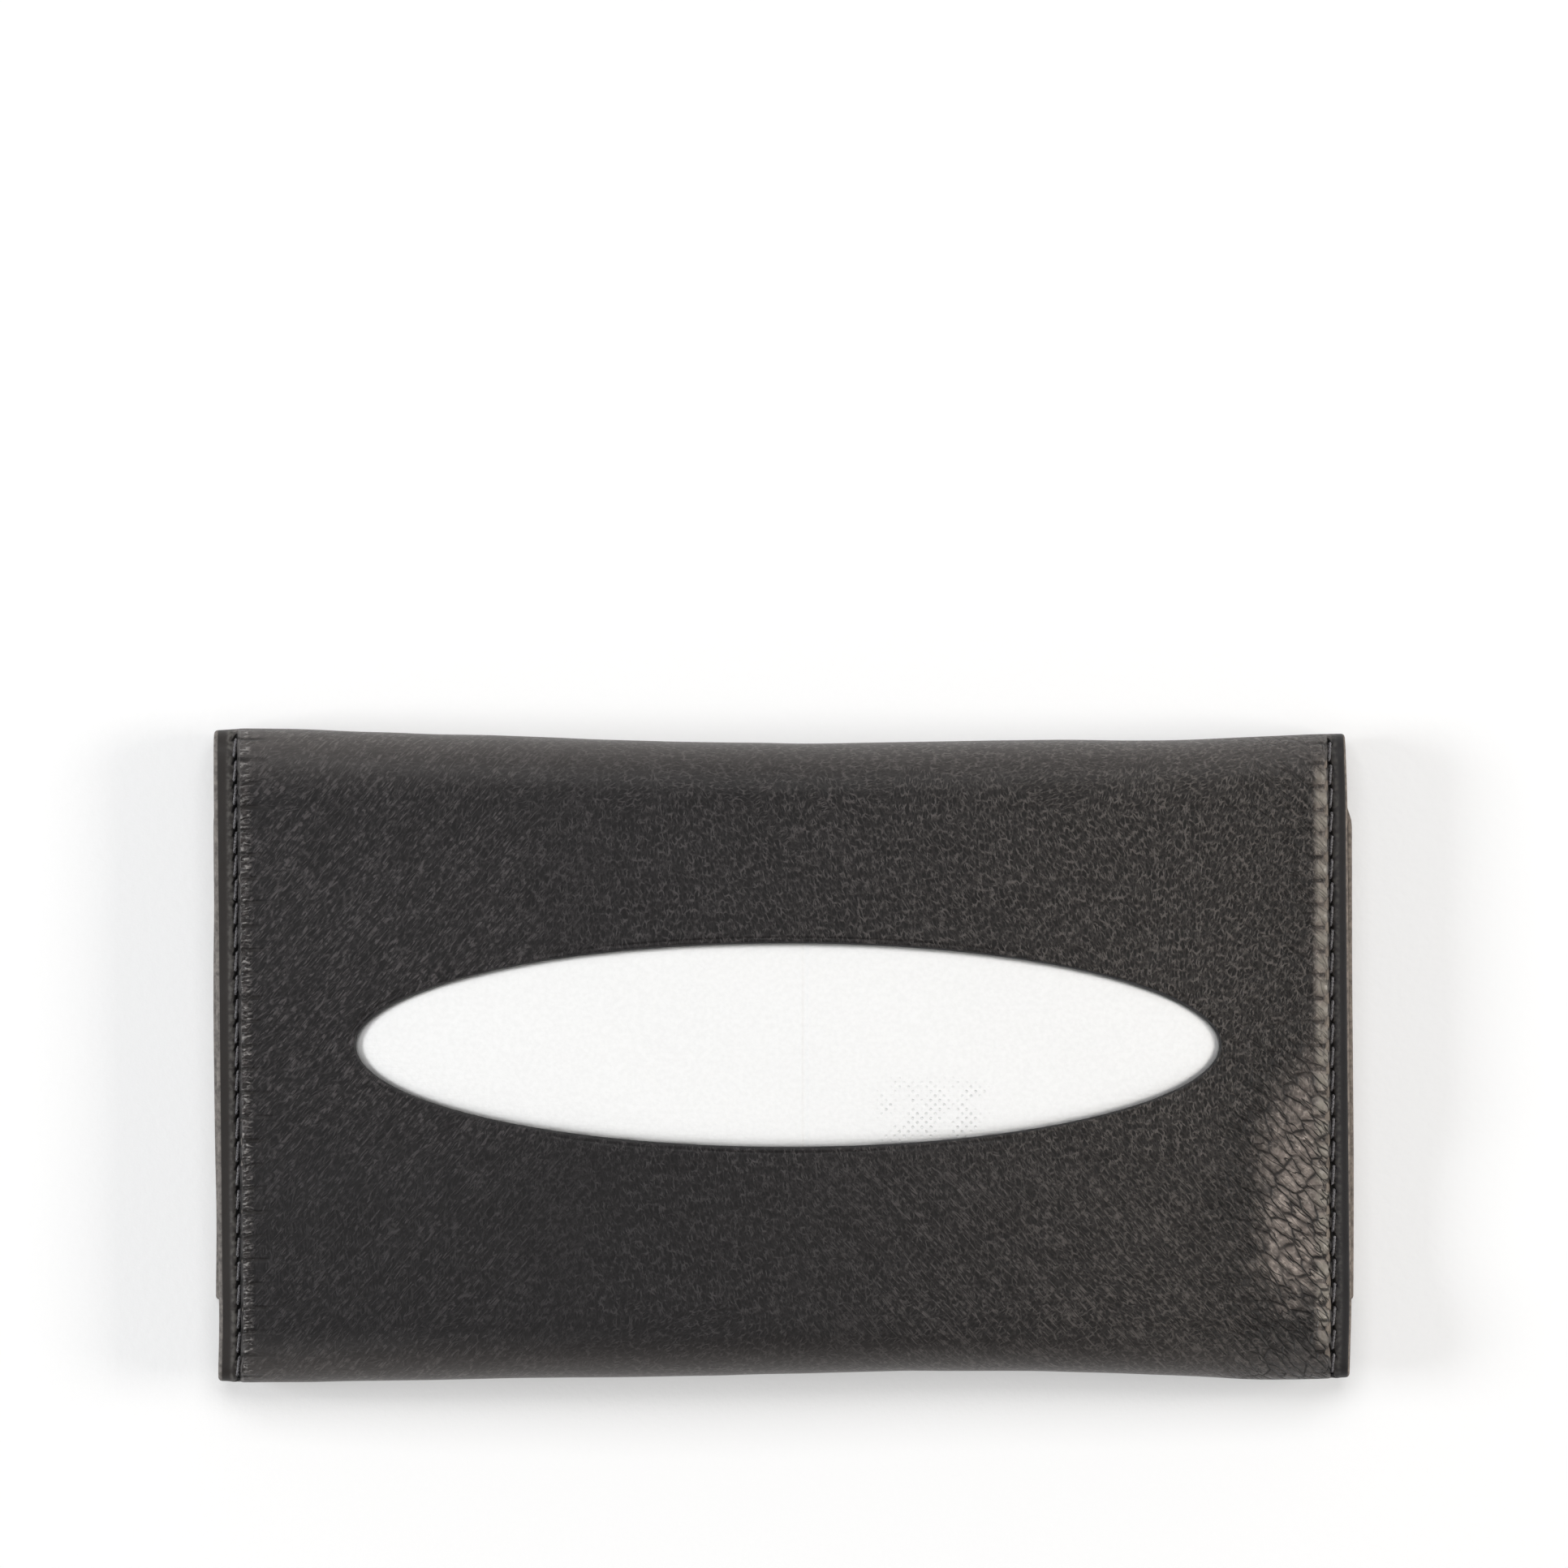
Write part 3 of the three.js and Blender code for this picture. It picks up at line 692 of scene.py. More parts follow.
def make_tissue():
    material, tree, skin = new_material("soft_tissue")
    place = piece_coordinates(tree)
    x, y = parts_of(tree, place)
    pulp = cloud(tree, place, 1.8, 4.0, 0.6)
    creping = add_node(tree, "ShaderNodeMapping", {"Vector": place, "Scale": (0.5, 5.0, 1.0)})
    crepe = cloud(tree, creping.outputs["Vector"], 1.0)

    # A fold line across, and a patch of small pressed dots that holds the plies together
    from_fold = maths(tree, "ABSOLUTE", maths(tree, "SUBTRACT", x, 2.7))
    fold_line = ramp(tree, from_fold, 0.1, 0.5, 1.0, 0.0)
    rows = rib_wave(tree, maths(tree, "ADD", x, y), 1.1)
    files = rib_wave(tree, maths(tree, "SUBTRACT", x, y), 1.1)
    dots = ramp(tree, maths(tree, "MULTIPLY", rows, files), 0.72, 0.92)
    off_x = maths(tree, "ABSOLUTE", maths(tree, "SUBTRACT", x, 18.5))
    off_y = maths(tree, "ABSOLUTE", maths(tree, "ADD", y, 6.8))
    patch = product(
        tree, ramp(tree, off_x, 5.0, 8.0, 1.0, 0.0), ramp(tree, off_y, 2.5, 5.0, 1.0, 0.0),
        ramp(tree, cloud(tree, place, 0.3), 0.4, 0.6, 0.1, 1.0),
    )
    pressed = maths(tree, "MULTIPLY", dots, patch)

    height = maths(tree, "MULTIPLY_ADD", crepe, 0.4, pulp)
    add_bump(tree, skin, built_height(tree, height, (fold_line, -1.6), (pressed, -2.2)), 0.045 * MM)
    colour = blend_colours(tree, ramp(tree, pulp, 0.3, 0.7), (0.91, 0.91, 0.905), (0.95, 0.95, 0.945))
    # Painted shade: the pressed dots are tinted grey, standing in for shade in their dents.
    colour = tint(tree, colour, pressed, 0.45, (0.7, 0.7, 0.71))
    tree.links.new(colour, skin["Base Color"])
    skin["Roughness"].default_value = 0.95
    skin["Specular IOR Level"].default_value = 0.2
    return material


def make_nickel():
    material, tree, skin = new_material("nickel_plate")
    place = piece_coordinates(tree)
    scuffs = cloud(tree, place, 0.8, 5.0)
    colour = blend_colours(tree, scuffs, (0.5, 0.49, 0.47), (0.66, 0.65, 0.63))
    tree.links.new(colour, skin["Base Color"])
    tree.links.new(blend_values(tree, scuffs, 0.2, 0.4), skin["Roughness"])
    skin["Metallic"].default_value = 1
    return material


def make_paper_floor():
    material, tree, skin = new_material("white_paper")
    place = piece_coordinates(tree)
    add_bump(tree, skin, cloud(tree, place, 0.9, 4.0), 0.05 * MM)
    skin["Base Color"].default_value = (0.72, 0.72, 0.72, 1)
    skin["Roughness"].default_value = 0.9
    skin["Specular IOR Level"].default_value = 0.1
    path = tree.nodes.new("ShaderNodeLightPath")
    seen = maths(tree, "MAXIMUM", path.outputs["Is Camera Ray"], path.outputs["Is Glossy Ray"])
    seen = maths(tree, "MAXIMUM", seen, path.outputs["Is Transmission Ray"])
    skin["Emission Color"].default_value = (1, 1, 1, 1)
    tree.links.new(maths(tree, "MULTIPLY", seen, 0.29), skin["Emission Strength"])
    facing = tree.nodes.new("ShaderNodeNewGeometry")
    tree.links.new(maths(tree, "SUBTRACT", 1.0, facing.outputs["Backfacing"]), skin["Alpha"])
    return material


# Shapes of the folded case
def by_side(x, values):
    return np.where(x > 0, values["right"], values["left"])


def steepness(x, shift=0):
    """How far down the steep wall at a seam places are."""
    end = by_side(x, CORNER_END) + shift
    return smooth(np.abs(x), end, end + STEEP_RUN)


def sinking(x, shift=0):
    """How far the front lies below its middle at places along the case."""
    reach = np.abs(x) - shift
    start, end = by_side(x, CORNER_START), by_side(x, CORNER_END)
    radius = by_side(x, CORNER_RADIUS)
    crown = CROWN_DROP * np.clip(reach / SEAM_X, 0, 1) ** CROWN_POWER
    into = (np.clip(reach, start, end) - start) / radius
    turn = radius * (1 - np.sqrt(1 - into ** 2))
    return lerp(crown + turn, FRONT_Z - SEAM_Z, steepness(x, shift))


def girth(x):
    """The run over the front from its middle line to places along the case."""
    steps = np.linspace(0, EDGE_X, 1400)
    runs = []
    for side in (-1, 1):
        rises = np.diff(sinking(side * steps))
        runs.append(np.concatenate([[0], np.cumsum(np.hypot(np.diff(steps), rises))]))
    left, right = (np.interp(np.abs(x), steps, run) for run in runs)
    return np.where(np.asarray(x) > 0, right, -left)


def hollow(x, along):
    """The worn hollow of the front at its lower right."""
    start, end = HOLLOW_X
    slant = np.clip((x - start) / (end - start), 0, 1) ** 1.25
    return HOLLOW_DEPTH * slant * (1 - steepness(x)) * np.exp(-((along - HOLLOW_Y) / HOLLOW_SPREAD) ** 4)


def soft_line(points, place, rounding):
    """Reads a line through points in millimetres, rounded over a stretch of it."""
    spots, values = np.array(points, float).T
    shifts = np.linspace(-1, 1, 5) * rounding / MM
    return MM * sum(np.interp(place / MM + shift, spots, values) for shift in shifts) / len(shifts)


def side_reach(x, y, sides):
    """How far out the sides of the used case stand, on the side that each place is on."""
    left = soft_line(sides["left"], y, 3 * MM)
    return np.where(x > 0, soft_line(sides["right"], y, 3 * MM), left)


def rolls(x):
    """The rolled folds at places along the case: middle, half depth and half height."""
    face = FRONT_Z - sinking(x)
    flatness = (FRONT_Z - face) / (FRONT_Z - SEAM_Z)
    roundness = lerp(ROLL_SHARE, 1, flatness)
    top_reach = soft_line(TOP_LINE, x, 4 * MM)
    bottom_reach = soft_line(BOTTOM_LINE, x, 4 * MM)
    top_half = face / 2
    bottom_half = (face - POCKET_Z) / 2
    top = SimpleNamespace(half=top_half, depth=top_half * roundness)
    bottom = SimpleNamespace(half=bottom_half, depth=bottom_half * roundness)
    top.y = top_reach - top.depth
    bottom.y = bottom.depth - bottom_reach
    return SimpleNamespace(face=face, top=top, bottom=bottom)


def fold(x, v, depth):
    """Lays a flat hide round the case: places, ways out of it, and the run along its skin."""
    shape = rolls(x)
    top, bottom = shape.top, shape.bottom
    over_keep = (np.abs(v) - KEEP_RUN) / (FRONT_RUN - KEEP_RUN)
    front_y = np.select(
        [v > KEEP_RUN, v < -KEEP_RUN],
        [lerp(KEEP_RUN, top.y, over_keep), lerp(-KEEP_RUN, bottom.y, over_keep)],
        v,
    )
    top_share = np.clip((v - FRONT_RUN) / TOP_RUN, 0, 1)
    lead_share = np.clip((v - FRONT_RUN - TOP_RUN) / LEAD_RUN, 0, 1)
    bottom_share = np.clip((-v - FRONT_RUN) / BOTTOM_RUN, 0, 1)
    pocket_share = np.clip((-v - FRONT_RUN - BOTTOM_RUN) / POCKET_RUN, 0, 1)
    top_turn = np.pi * (0.5 - top_share)
    bottom_turn = np.pi * (0.5 - bottom_share)
    none = np.zeros_like(x)
    where = [v > FRONT_RUN + TOP_RUN, v > FRONT_RUN, v < -FRONT_RUN - BOTTOM_RUN, v < -FRONT_RUN]
    y = np.select(where, [
        lerp(top.y, HINGE_Y, lead_share),
        top.y + top.depth * np.cos(top_turn),
        lerp(bottom.y, MOUTH_Y, pocket_share),
        bottom.y - bottom.depth * np.cos(bottom_turn),
    ], front_y)
    z = np.select(where, [
        none,
        top.half * (1 + np.sin(top_turn)),
        none + POCKET_Z,
        POCKET_Z + bottom.half * (1 + np.sin(bottom_turn)),
    ], shape.face)
    out_y = np.select(where, [
        none, np.cos(top_turn) / top.depth, none, -np.cos(bottom_turn) / bottom.depth,
    ], none)
    out_z = np.select(where, [
        none - 1, np.sin(top_turn) / top.half, none - 1, np.sin(bottom_turn) / bottom.half,
    ], 1)
    length = np.hypot(out_y, out_z)
    top_arc = np.pi * (top.half + top.depth) / 2
    bottom_arc = np.pi * (bottom.half + bottom.depth) / 2
    run = np.select(where, [
        top.y + top_arc + lead_share * (top.y - HINGE_Y),
        top.y + top_arc * top_share,
        bottom.y - bottom_arc - pocket_share * (MOUTH_Y - bottom.y),
        bottom.y - bottom_arc * bottom_share,
    ], front_y)
    out = np.stack([none, out_y / length, out_z / length], axis=1)
    skin = np.stack([x, y, z], axis=1)
    return SimpleNamespace(skin=skin, out=out, run=run, pocket=where[2], place=skin - out * depth[:, None])


def lean(places):
    """Moves the ends of the case to where its sides lie in use."""
    x, y = places[:, 0], places[:, 1]
    share = np.clip((np.abs(x) - FLAT_X) / (EDGE_X - FLAT_X), 0, 1)
    moved = places.copy()
    moved[:, 0] += share * np.sign(x) * side_reach(x, y, CASE_SIDES)
    return moved


def measure_seam(side, name):
    """The row of holes on one side: how it runs along the skin, as places on that run."""
    place = side * (EDGE_X - STITCH_INSET[name])
    x = np.array([place])
    shape = rolls(x)
    top, bottom = shape.top, shape.bottom
    arc = math.pi / 2 - FIRST_TURN
    first = (top.y + arc * top.half)[0]
    last = (bottom.y - arc * bottom.half)[0]
    count = int((first - last) / STITCH_PITCH)
    return SimpleNamespace(side=side, x=place, first=first, last=last, count=count,
                           step=(first - last) / count)


def noise_field(x, y, pitch_x, pitch_y, seed):
    places = zip((x / pitch_x).tolist(), (y / pitch_y).tolist())
    return np.array([noise.noise(Vector((a, b, seed))) for a, b in places])


def window_distance(x, y):
    """How far outside the oval places of the front are."""
    dx, dy = x - WINDOW_SHIFT, y - WINDOW_RISE
    reach = np.hypot(dx / WINDOW_A, dy / WINDOW_B)
    slope = np.hypot(dx / WINDOW_A ** 2, dy / WINDOW_B ** 2) / np.maximum(reach, 0.01)
    return (reach - 1) / np.maximum(slope, 1)


def soft_relief(x, folded):
    """Broad swells and hollows that go right through the hide."""
    swell = 0.22 * MM * noise_field(x, folded.run, 24 * MM, 17 * MM, 1.3)
    swell += 0.07 * MM * noise_field(x, folded.run, 7 * MM, 5 * MM, 4.1)
    swell += 0.1 * MM
    swell *= smooth(-np.abs(x), -EDGE_X, -SEAM_X) * smooth(folded.out[:, 2], -0.8, 0)
    return swell - hollow(x, folded.run) * (np.abs(folded.run) < FRONT_RUN)


def fine_relief(x, folded, seams):
    """The groove along the stitches, the ridge outside it and the pillows between the stitches."""
    relief = np.zeros_like(x)
    along = np.where(folded.pocket, folded.skin[:, 1], folded.run)
    facing = smooth(folded.out[:, 2], 0.6, 0.95)
    for seam in seams.values():
        inboard = (seam.x - x) * seam.side
        count = (seam.first - along) / seam.step
        beside = (count - np.clip(np.round(count), 0, seam.count)) * seam.step
        sewn = smooth(count, -0.6, -0.2) * smooth(-count, -seam.count - 0.6, -seam.count - 0.2)
        groove = -0.1 * MM * np.exp(-(inboard / (0.3 * MM)) ** 2)
        hole = -0.15 * MM * np.exp(-(inboard / (0.3 * MM)) ** 2 - (beside / (0.45 * MM)) ** 2)
        ridge = 0.14 * MM * np.exp(-((inboard + 0.7 * MM) / (0.3 * MM)) ** 2)
        swing = 0.5 - 0.5 * np.cos(2 * np.pi * count)
        pucker = 0.5 + noise_field(np.zeros_like(x), along, MM, 0.55 * MM, 3.3)
        if seam.side > 0:
            shift = 0.6 * MM * swing ** 0.5 - 0.52 * MM
        else:
            shift = 0.22 * MM * pucker + 0.08 * MM * swing - 0.15 * MM
        pillow = np.where(np.sign(x) == seam.side, sinking(x) - sinking(x, shift), 0)
        relief += (groove + hole + ridge + pillow * facing) * sewn
    ripple = noise_field(x, folded.run, 6 * MM, 2.4 * MM, 8.7)
    end_share = smooth(x, FLAT_X - 6 * MM, SEAM_X) * smooth(-x, -EDGE_X, -SEAM_X)
    relief += 0.14 * MM * ripple * end_share * facing
    rim_line = window_distance(x, folded.skin[:, 1]) - RIM_STEP
    on_front = np.abs(folded.run) < KEEP_RUN
    relief -= np.where(on_front, 0.1 * MM * np.exp(-(rim_line / (0.12 * MM)) ** 2), 0)
    return relief


# Handling of meshes
def deselect_all():
    if bpy.context.object and bpy.context.object.mode != "OBJECT":
        bpy.ops.object.mode_set(mode="OBJECT")
    bpy.ops.object.select_all(action="DESELECT")


def edit(piece, mode):
    deselect_all()
    piece.select_set(True)
    bpy.context.view_layer.objects.active = piece
    bpy.ops.object.mode_set(mode="EDIT")
    bpy.ops.mesh.select_mode(type=mode)
    bpy.ops.mesh.select_all(action="DESELECT")
    return bmesh.from_edit_mesh(piece.data)


def leave_edit():
    bpy.ops.object.mode_set(mode="OBJECT")


def places_of(piece):
    flat = np.empty(len(piece.data.vertices) * 3)
    piece.data.vertices.foreach_get("co", flat)
    return flat.reshape(-1, 3)


def move_vertices(piece, places):
    piece.data.vertices.foreach_set("co", places.ravel())
    piece.data.update()


def map_cut(piece, across, along):
    """Writes the flat cut of a sheet as the piece's own map."""
    mesh = piece.data
    while mesh.uv_layers:
        mesh.uv_layers.remove(mesh.uv_layers[0])
    layer = mesh.uv_layers.new(name="cut")
    corners = np.empty(len(mesh.loops), dtype=np.int32)
    mesh.loops.foreach_get("vertex_index", corners)
    layer.data.foreach_set("uv", np.stack([across[corners], along[corners]], axis=1).ravel())


def stretches(*runs):
    """Places along a line, from runs of (start, end, pitch) that meet."""
    places = [runs[0][0]]
    for start, end, pitch in runs:
        steps = max(1, round(abs(end - start) / pitch))
        places += [lerp(start, end, i / steps) for i in range(1, steps + 1)]
    return places


def lay_sheet(name, columns, rows):
    """A flat sheet whose lines of faces lie at the given places."""
    deselect_all()
    bpy.ops.mesh.primitive_grid_add(x_subdivisions=len(columns) - 1, y_subdivisions=len(rows) - 1, size=2)
    sheet = bpy.context.object
    sheet.name = name
    places = places_of(sheet)
    places[:, 0] = np.interp((places[:, 0] + 1) / 2 * (len(columns) - 1), range(len(columns)), columns)
    places[:, 1] = np.interp((places[:, 1] + 1) / 2 * (len(rows) - 1), range(len(rows)), rows)
    move_vertices(sheet, places)
    return sheet


def ring_edges(bm, half_x, half_y):
    """The open edges round the window."""
    found = []
    for edge in bm.edges:
        middle = (edge.verts[0].co + edge.verts[1].co) / 2
        near = abs(middle.x - WINDOW_SHIFT) < half_x and abs(middle.y - WINDOW_RISE) < half_y
        if edge.is_boundary and near:
            found.append(edge)
    return found


def extrude_to_oval(piece, from_x, from_y, to_x, to_y):
    """Draws the open edges of the window in to an oval, and returns the edit mesh."""
    bm = bmesh.from_edit_mesh(piece.data)
    margin = 1.5 * MM
    for edge in ring_edges(bm, from_x + margin, from_y + margin):
        edge.select_set(True)
    bpy.ops.mesh.extrude_region_move()
    bm = bmesh.from_edit_mesh(piece.data)
    for vert in bm.verts:
        if vert.select:
            angle = math.atan2((vert.co.y - WINDOW_RISE) / from_y, (vert.co.x - WINDOW_SHIFT) / from_x)
            vert.co.x = WINDOW_SHIFT + to_x * math.cos(angle)
            vert.co.y = WINDOW_RISE + to_y * math.sin(angle)
    return bm


def punch_window(sheet, wider, cuts):
    """Cuts the oval out of a flat sheet, with rings of faces round it."""
    half_x = WINDOW_A + WINDOW_ROOM_X
    half_y = WINDOW_B + WINDOW_ROOM_Y
    bm = edit(sheet, "FACE")
    for face in bm.faces:
        spot = face.calc_center_median()
        if abs(spot.x - WINDOW_SHIFT) < half_x and abs(spot.y - WINDOW_RISE) < half_y:
            face.select_set(True)
    bpy.ops.mesh.delete(type="FACE")
    bpy.ops.mesh.select_mode(type="EDGE")
    ring_x = WINDOW_A + wider + RIM_STEP
    ring_y = WINDOW_B + wider + RIM_STEP
    bm = extrude_to_oval(sheet, half_x, half_y, ring_x, ring_y)
    crossing = [edge for edge in bm.edges if edge.verts[0].select != edge.verts[1].select]
    bpy.ops.mesh.select_all(action="DESELECT")
    for edge in crossing:
        edge.select_set(True)
    bpy.ops.mesh.subdivide(number_cuts=cuts)
    bpy.ops.mesh.select_all(action="DESELECT")
    extrude_to_oval(sheet, ring_x, ring_y, WINDOW_A + wider, WINDOW_B + wider)
    leave_edit()


def thicken(sheet, thickness, offset=-1):
    modifier = sheet.modifiers.new("thickness", "SOLIDIFY")
    modifier.thickness = thickness
    modifier.offset = offset
    bpy.context.view_layer.objects.active = sheet
    bpy.ops.object.modifier_apply(modifier=modifier.name)


def round_rims(sheet, radius, join):
    """Rounds the cut edges of a flat slab, but not those where it goes on into the next piece."""
    bm = edit(sheet, "EDGE")
    for edge in bm.edges:
        middle = (edge.verts[0].co + edge.verts[1].co) / 2
        joined = abs(middle.y - join) < 0.01 * MM
        if len(edge.link_faces) == 2 and edge.calc_face_angle() > RIM_ANGLE and not joined:
            edge.select_set(True)
    bpy.ops.mesh.bevel(
        offset=radius, offset_type="OFFSET", segments=RIM_SEGMENTS, profile=0.5, clamp_overlap=True
    )
    leave_edit()


def finish_sides(sheet, half_width, skin, flesh, edge, side_edge):
    """Gives a flat slab its finishes by the way its faces look."""
    for material in (skin, flesh, edge, side_edge):
        sheet.data.materials.append(material)
    for face in sheet.data.polygons:
        band = RIM_ROUND * (PALE_BAND_LEFT if face.center.x < 0 else PALE_BAND_RIGHT)
        side = abs(face.center.x) > half_width - band
        if face.normal.z < -0.8:
            face.material_index = 1
        elif side:
            face.material_index = 3
        elif face.normal.z > 0.8:
            face.material_index = 0
        else:
            face.material_index = 2


def smooth_shading(piece, angle=40):
    deselect_all()
    piece.select_set(True)
    bpy.context.view_layer.objects.active = piece
    bpy.ops.object.shade_smooth_by_angle(angle=math.radians(angle))


# Pieces
def seam_columns(side_low, side_high):
    """Columns across the case, closest together along the two seams."""
    near = FLAT_X - 2 * MM
    tight = SEAM_X - 1.2 * MM
    rim = side_high - RIM_STEP
    return stretches(
        (side_low, -rim, RIM_STEP), (-rim, -tight, 0.22 * MM), (-tight, -near, 0.7 * MM),
        (-near, near, 1.15 * MM),
        (near, tight, 0.7 * MM), (tight, rim, 0.22 * MM), (rim, side_high, RIM_STEP),
    )


def cut_size(sheet):
    """Width, length and area of a sheet while it lies flat."""
    places = places_of(sheet)
    width, length = (float(extent) for extent in np.ptp(places[:, :2], axis=0))
    return (width, length), sum(face.area for face in sheet.data.polygons)


def hide_rows(front_pitch, roll_pitch, pocket_pitch):
    end = -FRONT_RUN - BOTTOM_RUN - POCKET_RUN
    return stretches(
        (end, end + RIM_STEP, RIM_STEP), (end + RIM_STEP, end + POCKET_RUN, pocket_pitch),
        (end + POCKET_RUN, -FRONT_RUN, roll_pitch), (-FRONT_RUN, FRONT_RUN, front_pitch),
        (FRONT_RUN, FRONT_RUN + TOP_RUN, roll_pitch),
        (FRONT_RUN + TOP_RUN, FRONT_RUN + TOP_RUN + LEAD_RUN, RIM_STEP),
    )


def sink_recesses(places, depth, low, high, floor):
    """Deepens the back of a hide where the magnets lie in it."""
    middle_x, middle_y = (low.x + high.x) / 2, (low.y + high.y) / 2
    radius = (high.x - low.x) / 2 + 0.9 * MM
    off = np.hypot(np.abs(places[:, 0]) - middle_x, places[:, 1] - middle_y)
    return np.where((off < radius) & (depth > floor), floor, depth)


def make_case_hide(finishes, seams):
    rows = hide_rows(0.5 * MM, 1.0 * MM, 1.2 * MM)
    hide = lay_sheet("case_hide", seam_columns(-EDGE_X, EDGE_X), rows)
    punch_window(hide, 0, 18)
    thicken(hide, LEATHER)
    round_rims(hide, RIM_ROUND, rows[-1])
    finish_sides(hide, EDGE_X, *finishes)
    flat = places_of(hide)
    x, v, depth = flat[:, 0], flat[:, 1], -flat[:, 2]
    folded = fold(x, v, depth)
    in_pocket = folded.pocket
    floor = pocket_magnet_low.z - POCKET_Z
    sunk = sink_recesses(folded.skin, depth, pocket_magnet_low, pocket_magnet_high, floor)
    depth = np.where(in_pocket, sunk, depth)
    map_cut(hide, girth(x), folded.run)
    fade = np.clip(1 - depth / LEATHER, 0, 1)
    relief = soft_relief(x, folded) + fine_relief(x, folded, seams) * fade
    places = folded.skin + folded.out * (relief - depth)[:, None]
    move_vertices(hide, lean(places))
    smooth_shading(hide)
    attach(hide, "case")
    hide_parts("case_leather")
    return folded


def make_case_lining(twill, seams):
    inset = 0.25 * MM
    side = EDGE_X - inset
    columns = stretches(
        (-side, RIM_STEP - side, RIM_STEP), (RIM_STEP - side, side - RIM_STEP, 1.3 * MM),
        (side - RIM_STEP, side, RIM_STEP),
    )
    lining = lay_sheet("case_twill", columns, hide_rows(1.2 * MM, 1.2 * MM, 1.6 * MM))
    punch_window(lining, inset, 6)
    cut, cut_area = cut_size(lining)
    thicken(lining, WALL - LINING_DEPTH)
    flat = places_of(lining)
    x, v, depth = flat[:, 0], flat[:, 1], LINING_DEPTH - flat[:, 2]
    folded = fold(x, v, depth)
    map_cut(lining, girth(x), folded.run)
    lining.data.materials.append(twill)
    places = folded.place + folded.out * soft_relief(x, folded)[:, None]
    move_vertices(lining, lean(places))
    smooth_shading(lining)
    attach(lining, "case")
    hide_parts("case_lining")


def flap_sheet(name, half_width, length, pitch):
    columns = stretches(
        (-half_width, RIM_STEP - half_width, RIM_STEP),
        (RIM_STEP - half_width, half_width - RIM_STEP, pitch),
        (half_width - RIM_STEP, half_width, RIM_STEP),
    )
    rows = stretches((0, RIM_STEP, RIM_STEP), (RIM_STEP, length - RIM_STEP, pitch),
                     (length - RIM_STEP, length, RIM_STEP))
    return lay_sheet(name, columns, rows)


def flap_places(x, v, depth):
    """Lays the flat flap under the case, as wide as the case at the fold and wider below it."""
    y = HINGE_Y - v
    at_fold = EDGE_X + side_reach(x, np.full_like(y, HINGE_Y), CASE_SIDES)
    edge = lerp(at_fold, FLAP_EDGE_X + side_reach(x, y, FLAP_SIDES), smooth(v, 0, 3 * MM))
    wave = 0.12 * MM * (1 + noise_field(x, v, 30 * MM, 22 * MM, 6.2)) * smooth(v, 4 * MM, 16 * MM)
    return np.stack([x / FLAP_EDGE_X * edge, y, depth + wave], axis=1)


def ride_flap(piece):
    """Bakes the piece's placement into its mesh."""
    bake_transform(piece)


def make_flap_hide(finishes, run_start):
    hide = flap_sheet("flap_hide", FLAP_EDGE_X, HINGE_Y - FLAP_END_Y, 0.85 * MM)
    thicken(hide, LEATHER)
    round_rims(hide, RIM_ROUND, 0)
    finish_sides(hide, FLAP_EDGE_X, *finishes)
    flat = places_of(hide)
    x, v, depth = flat[:, 0], flat[:, 1], -flat[:, 2]
    map_cut(hide, x, run_start + v)
    places = flap_places(x, v, depth)
    depth = sink_recesses(places, depth, flap_magnet_low, flap_magnet_high, flap_magnet_low.z)
    move_vertices(hide, flap_places(x, v, depth))
    smooth_shading(hide)
    ride_flap(hide)
    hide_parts("flap_leather")


def make_flap_lining(twill, run_start):
    lining = flap_sheet("flap_twill", flap_lining_high.x, HINGE_Y - flap_lining_low.y, 1.2 * MM)
    cut, _ = cut_size(lining)
    thicken(lining, WALL - LINING_DEPTH)
    flat = places_of(lining)
    x, v, depth = flat[:, 0], flat[:, 1], LINING_DEPTH - flat[:, 2]
    map_cut(lining, x, run_start + v)
    lining.data.materials.append(twill)
    move_vertices(lining, flap_places(x, v, depth))
    smooth_shading(lining)
    ride_flap(lining)
    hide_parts("flap_lining")


def twisted_thread(name, route, out, finish):
    """Three plies laid round a route, made as round cords and turned into one mesh."""
    ply = THREAD_RADIUS * 0.52
    lay = 1.3 * MM
    steps = np.linalg.norm(np.diff(route, axis=0), axis=1)
    run = np.concatenate([[0], np.cumsum(steps)])
    across = np.array([1.0, 0, 0])
    curve = bpy.data.curves.new(name, "CURVE")
    curve.dimensions = "3D"
    curve.bevel_depth = ply
    curve.bevel_resolution = 1
    curve.use_fill_caps = True
    for number in range(3):
        angle = 2 * np.pi * (number / 3 + run / lay)
        offset = ply * (np.cos(angle)[:, None] * across + np.sin(angle)[:, None] * out)
        spline = curve.splines.new("POLY")
        spline.points.add(len(route) - 1)
        points = np.concatenate([route + offset, np.ones((len(route), 1))], axis=1)
        spline.points.foreach_set("co", points.ravel())
    cord = bpy.data.objects.new(name, curve)
    bpy.context.scene.collection.objects.link(cord)
    deselect_all()
    cord.select_set(True)
    bpy.context.view_layer.objects.active = cord
    bpy.ops.object.convert(target="MESH")
    cord = bpy.context.object
    cord.data.materials.append(finish)
    smooth_shading(cord, 60)
    return cord


def stitch_rise(count, lift, dip):
    """How far out of the hide a thread lies: down in each hole, up between them."""
    beside = np.abs(count - np.round(count))
    return lerp(-dip, lift, smooth(beside, 0, 0.17))


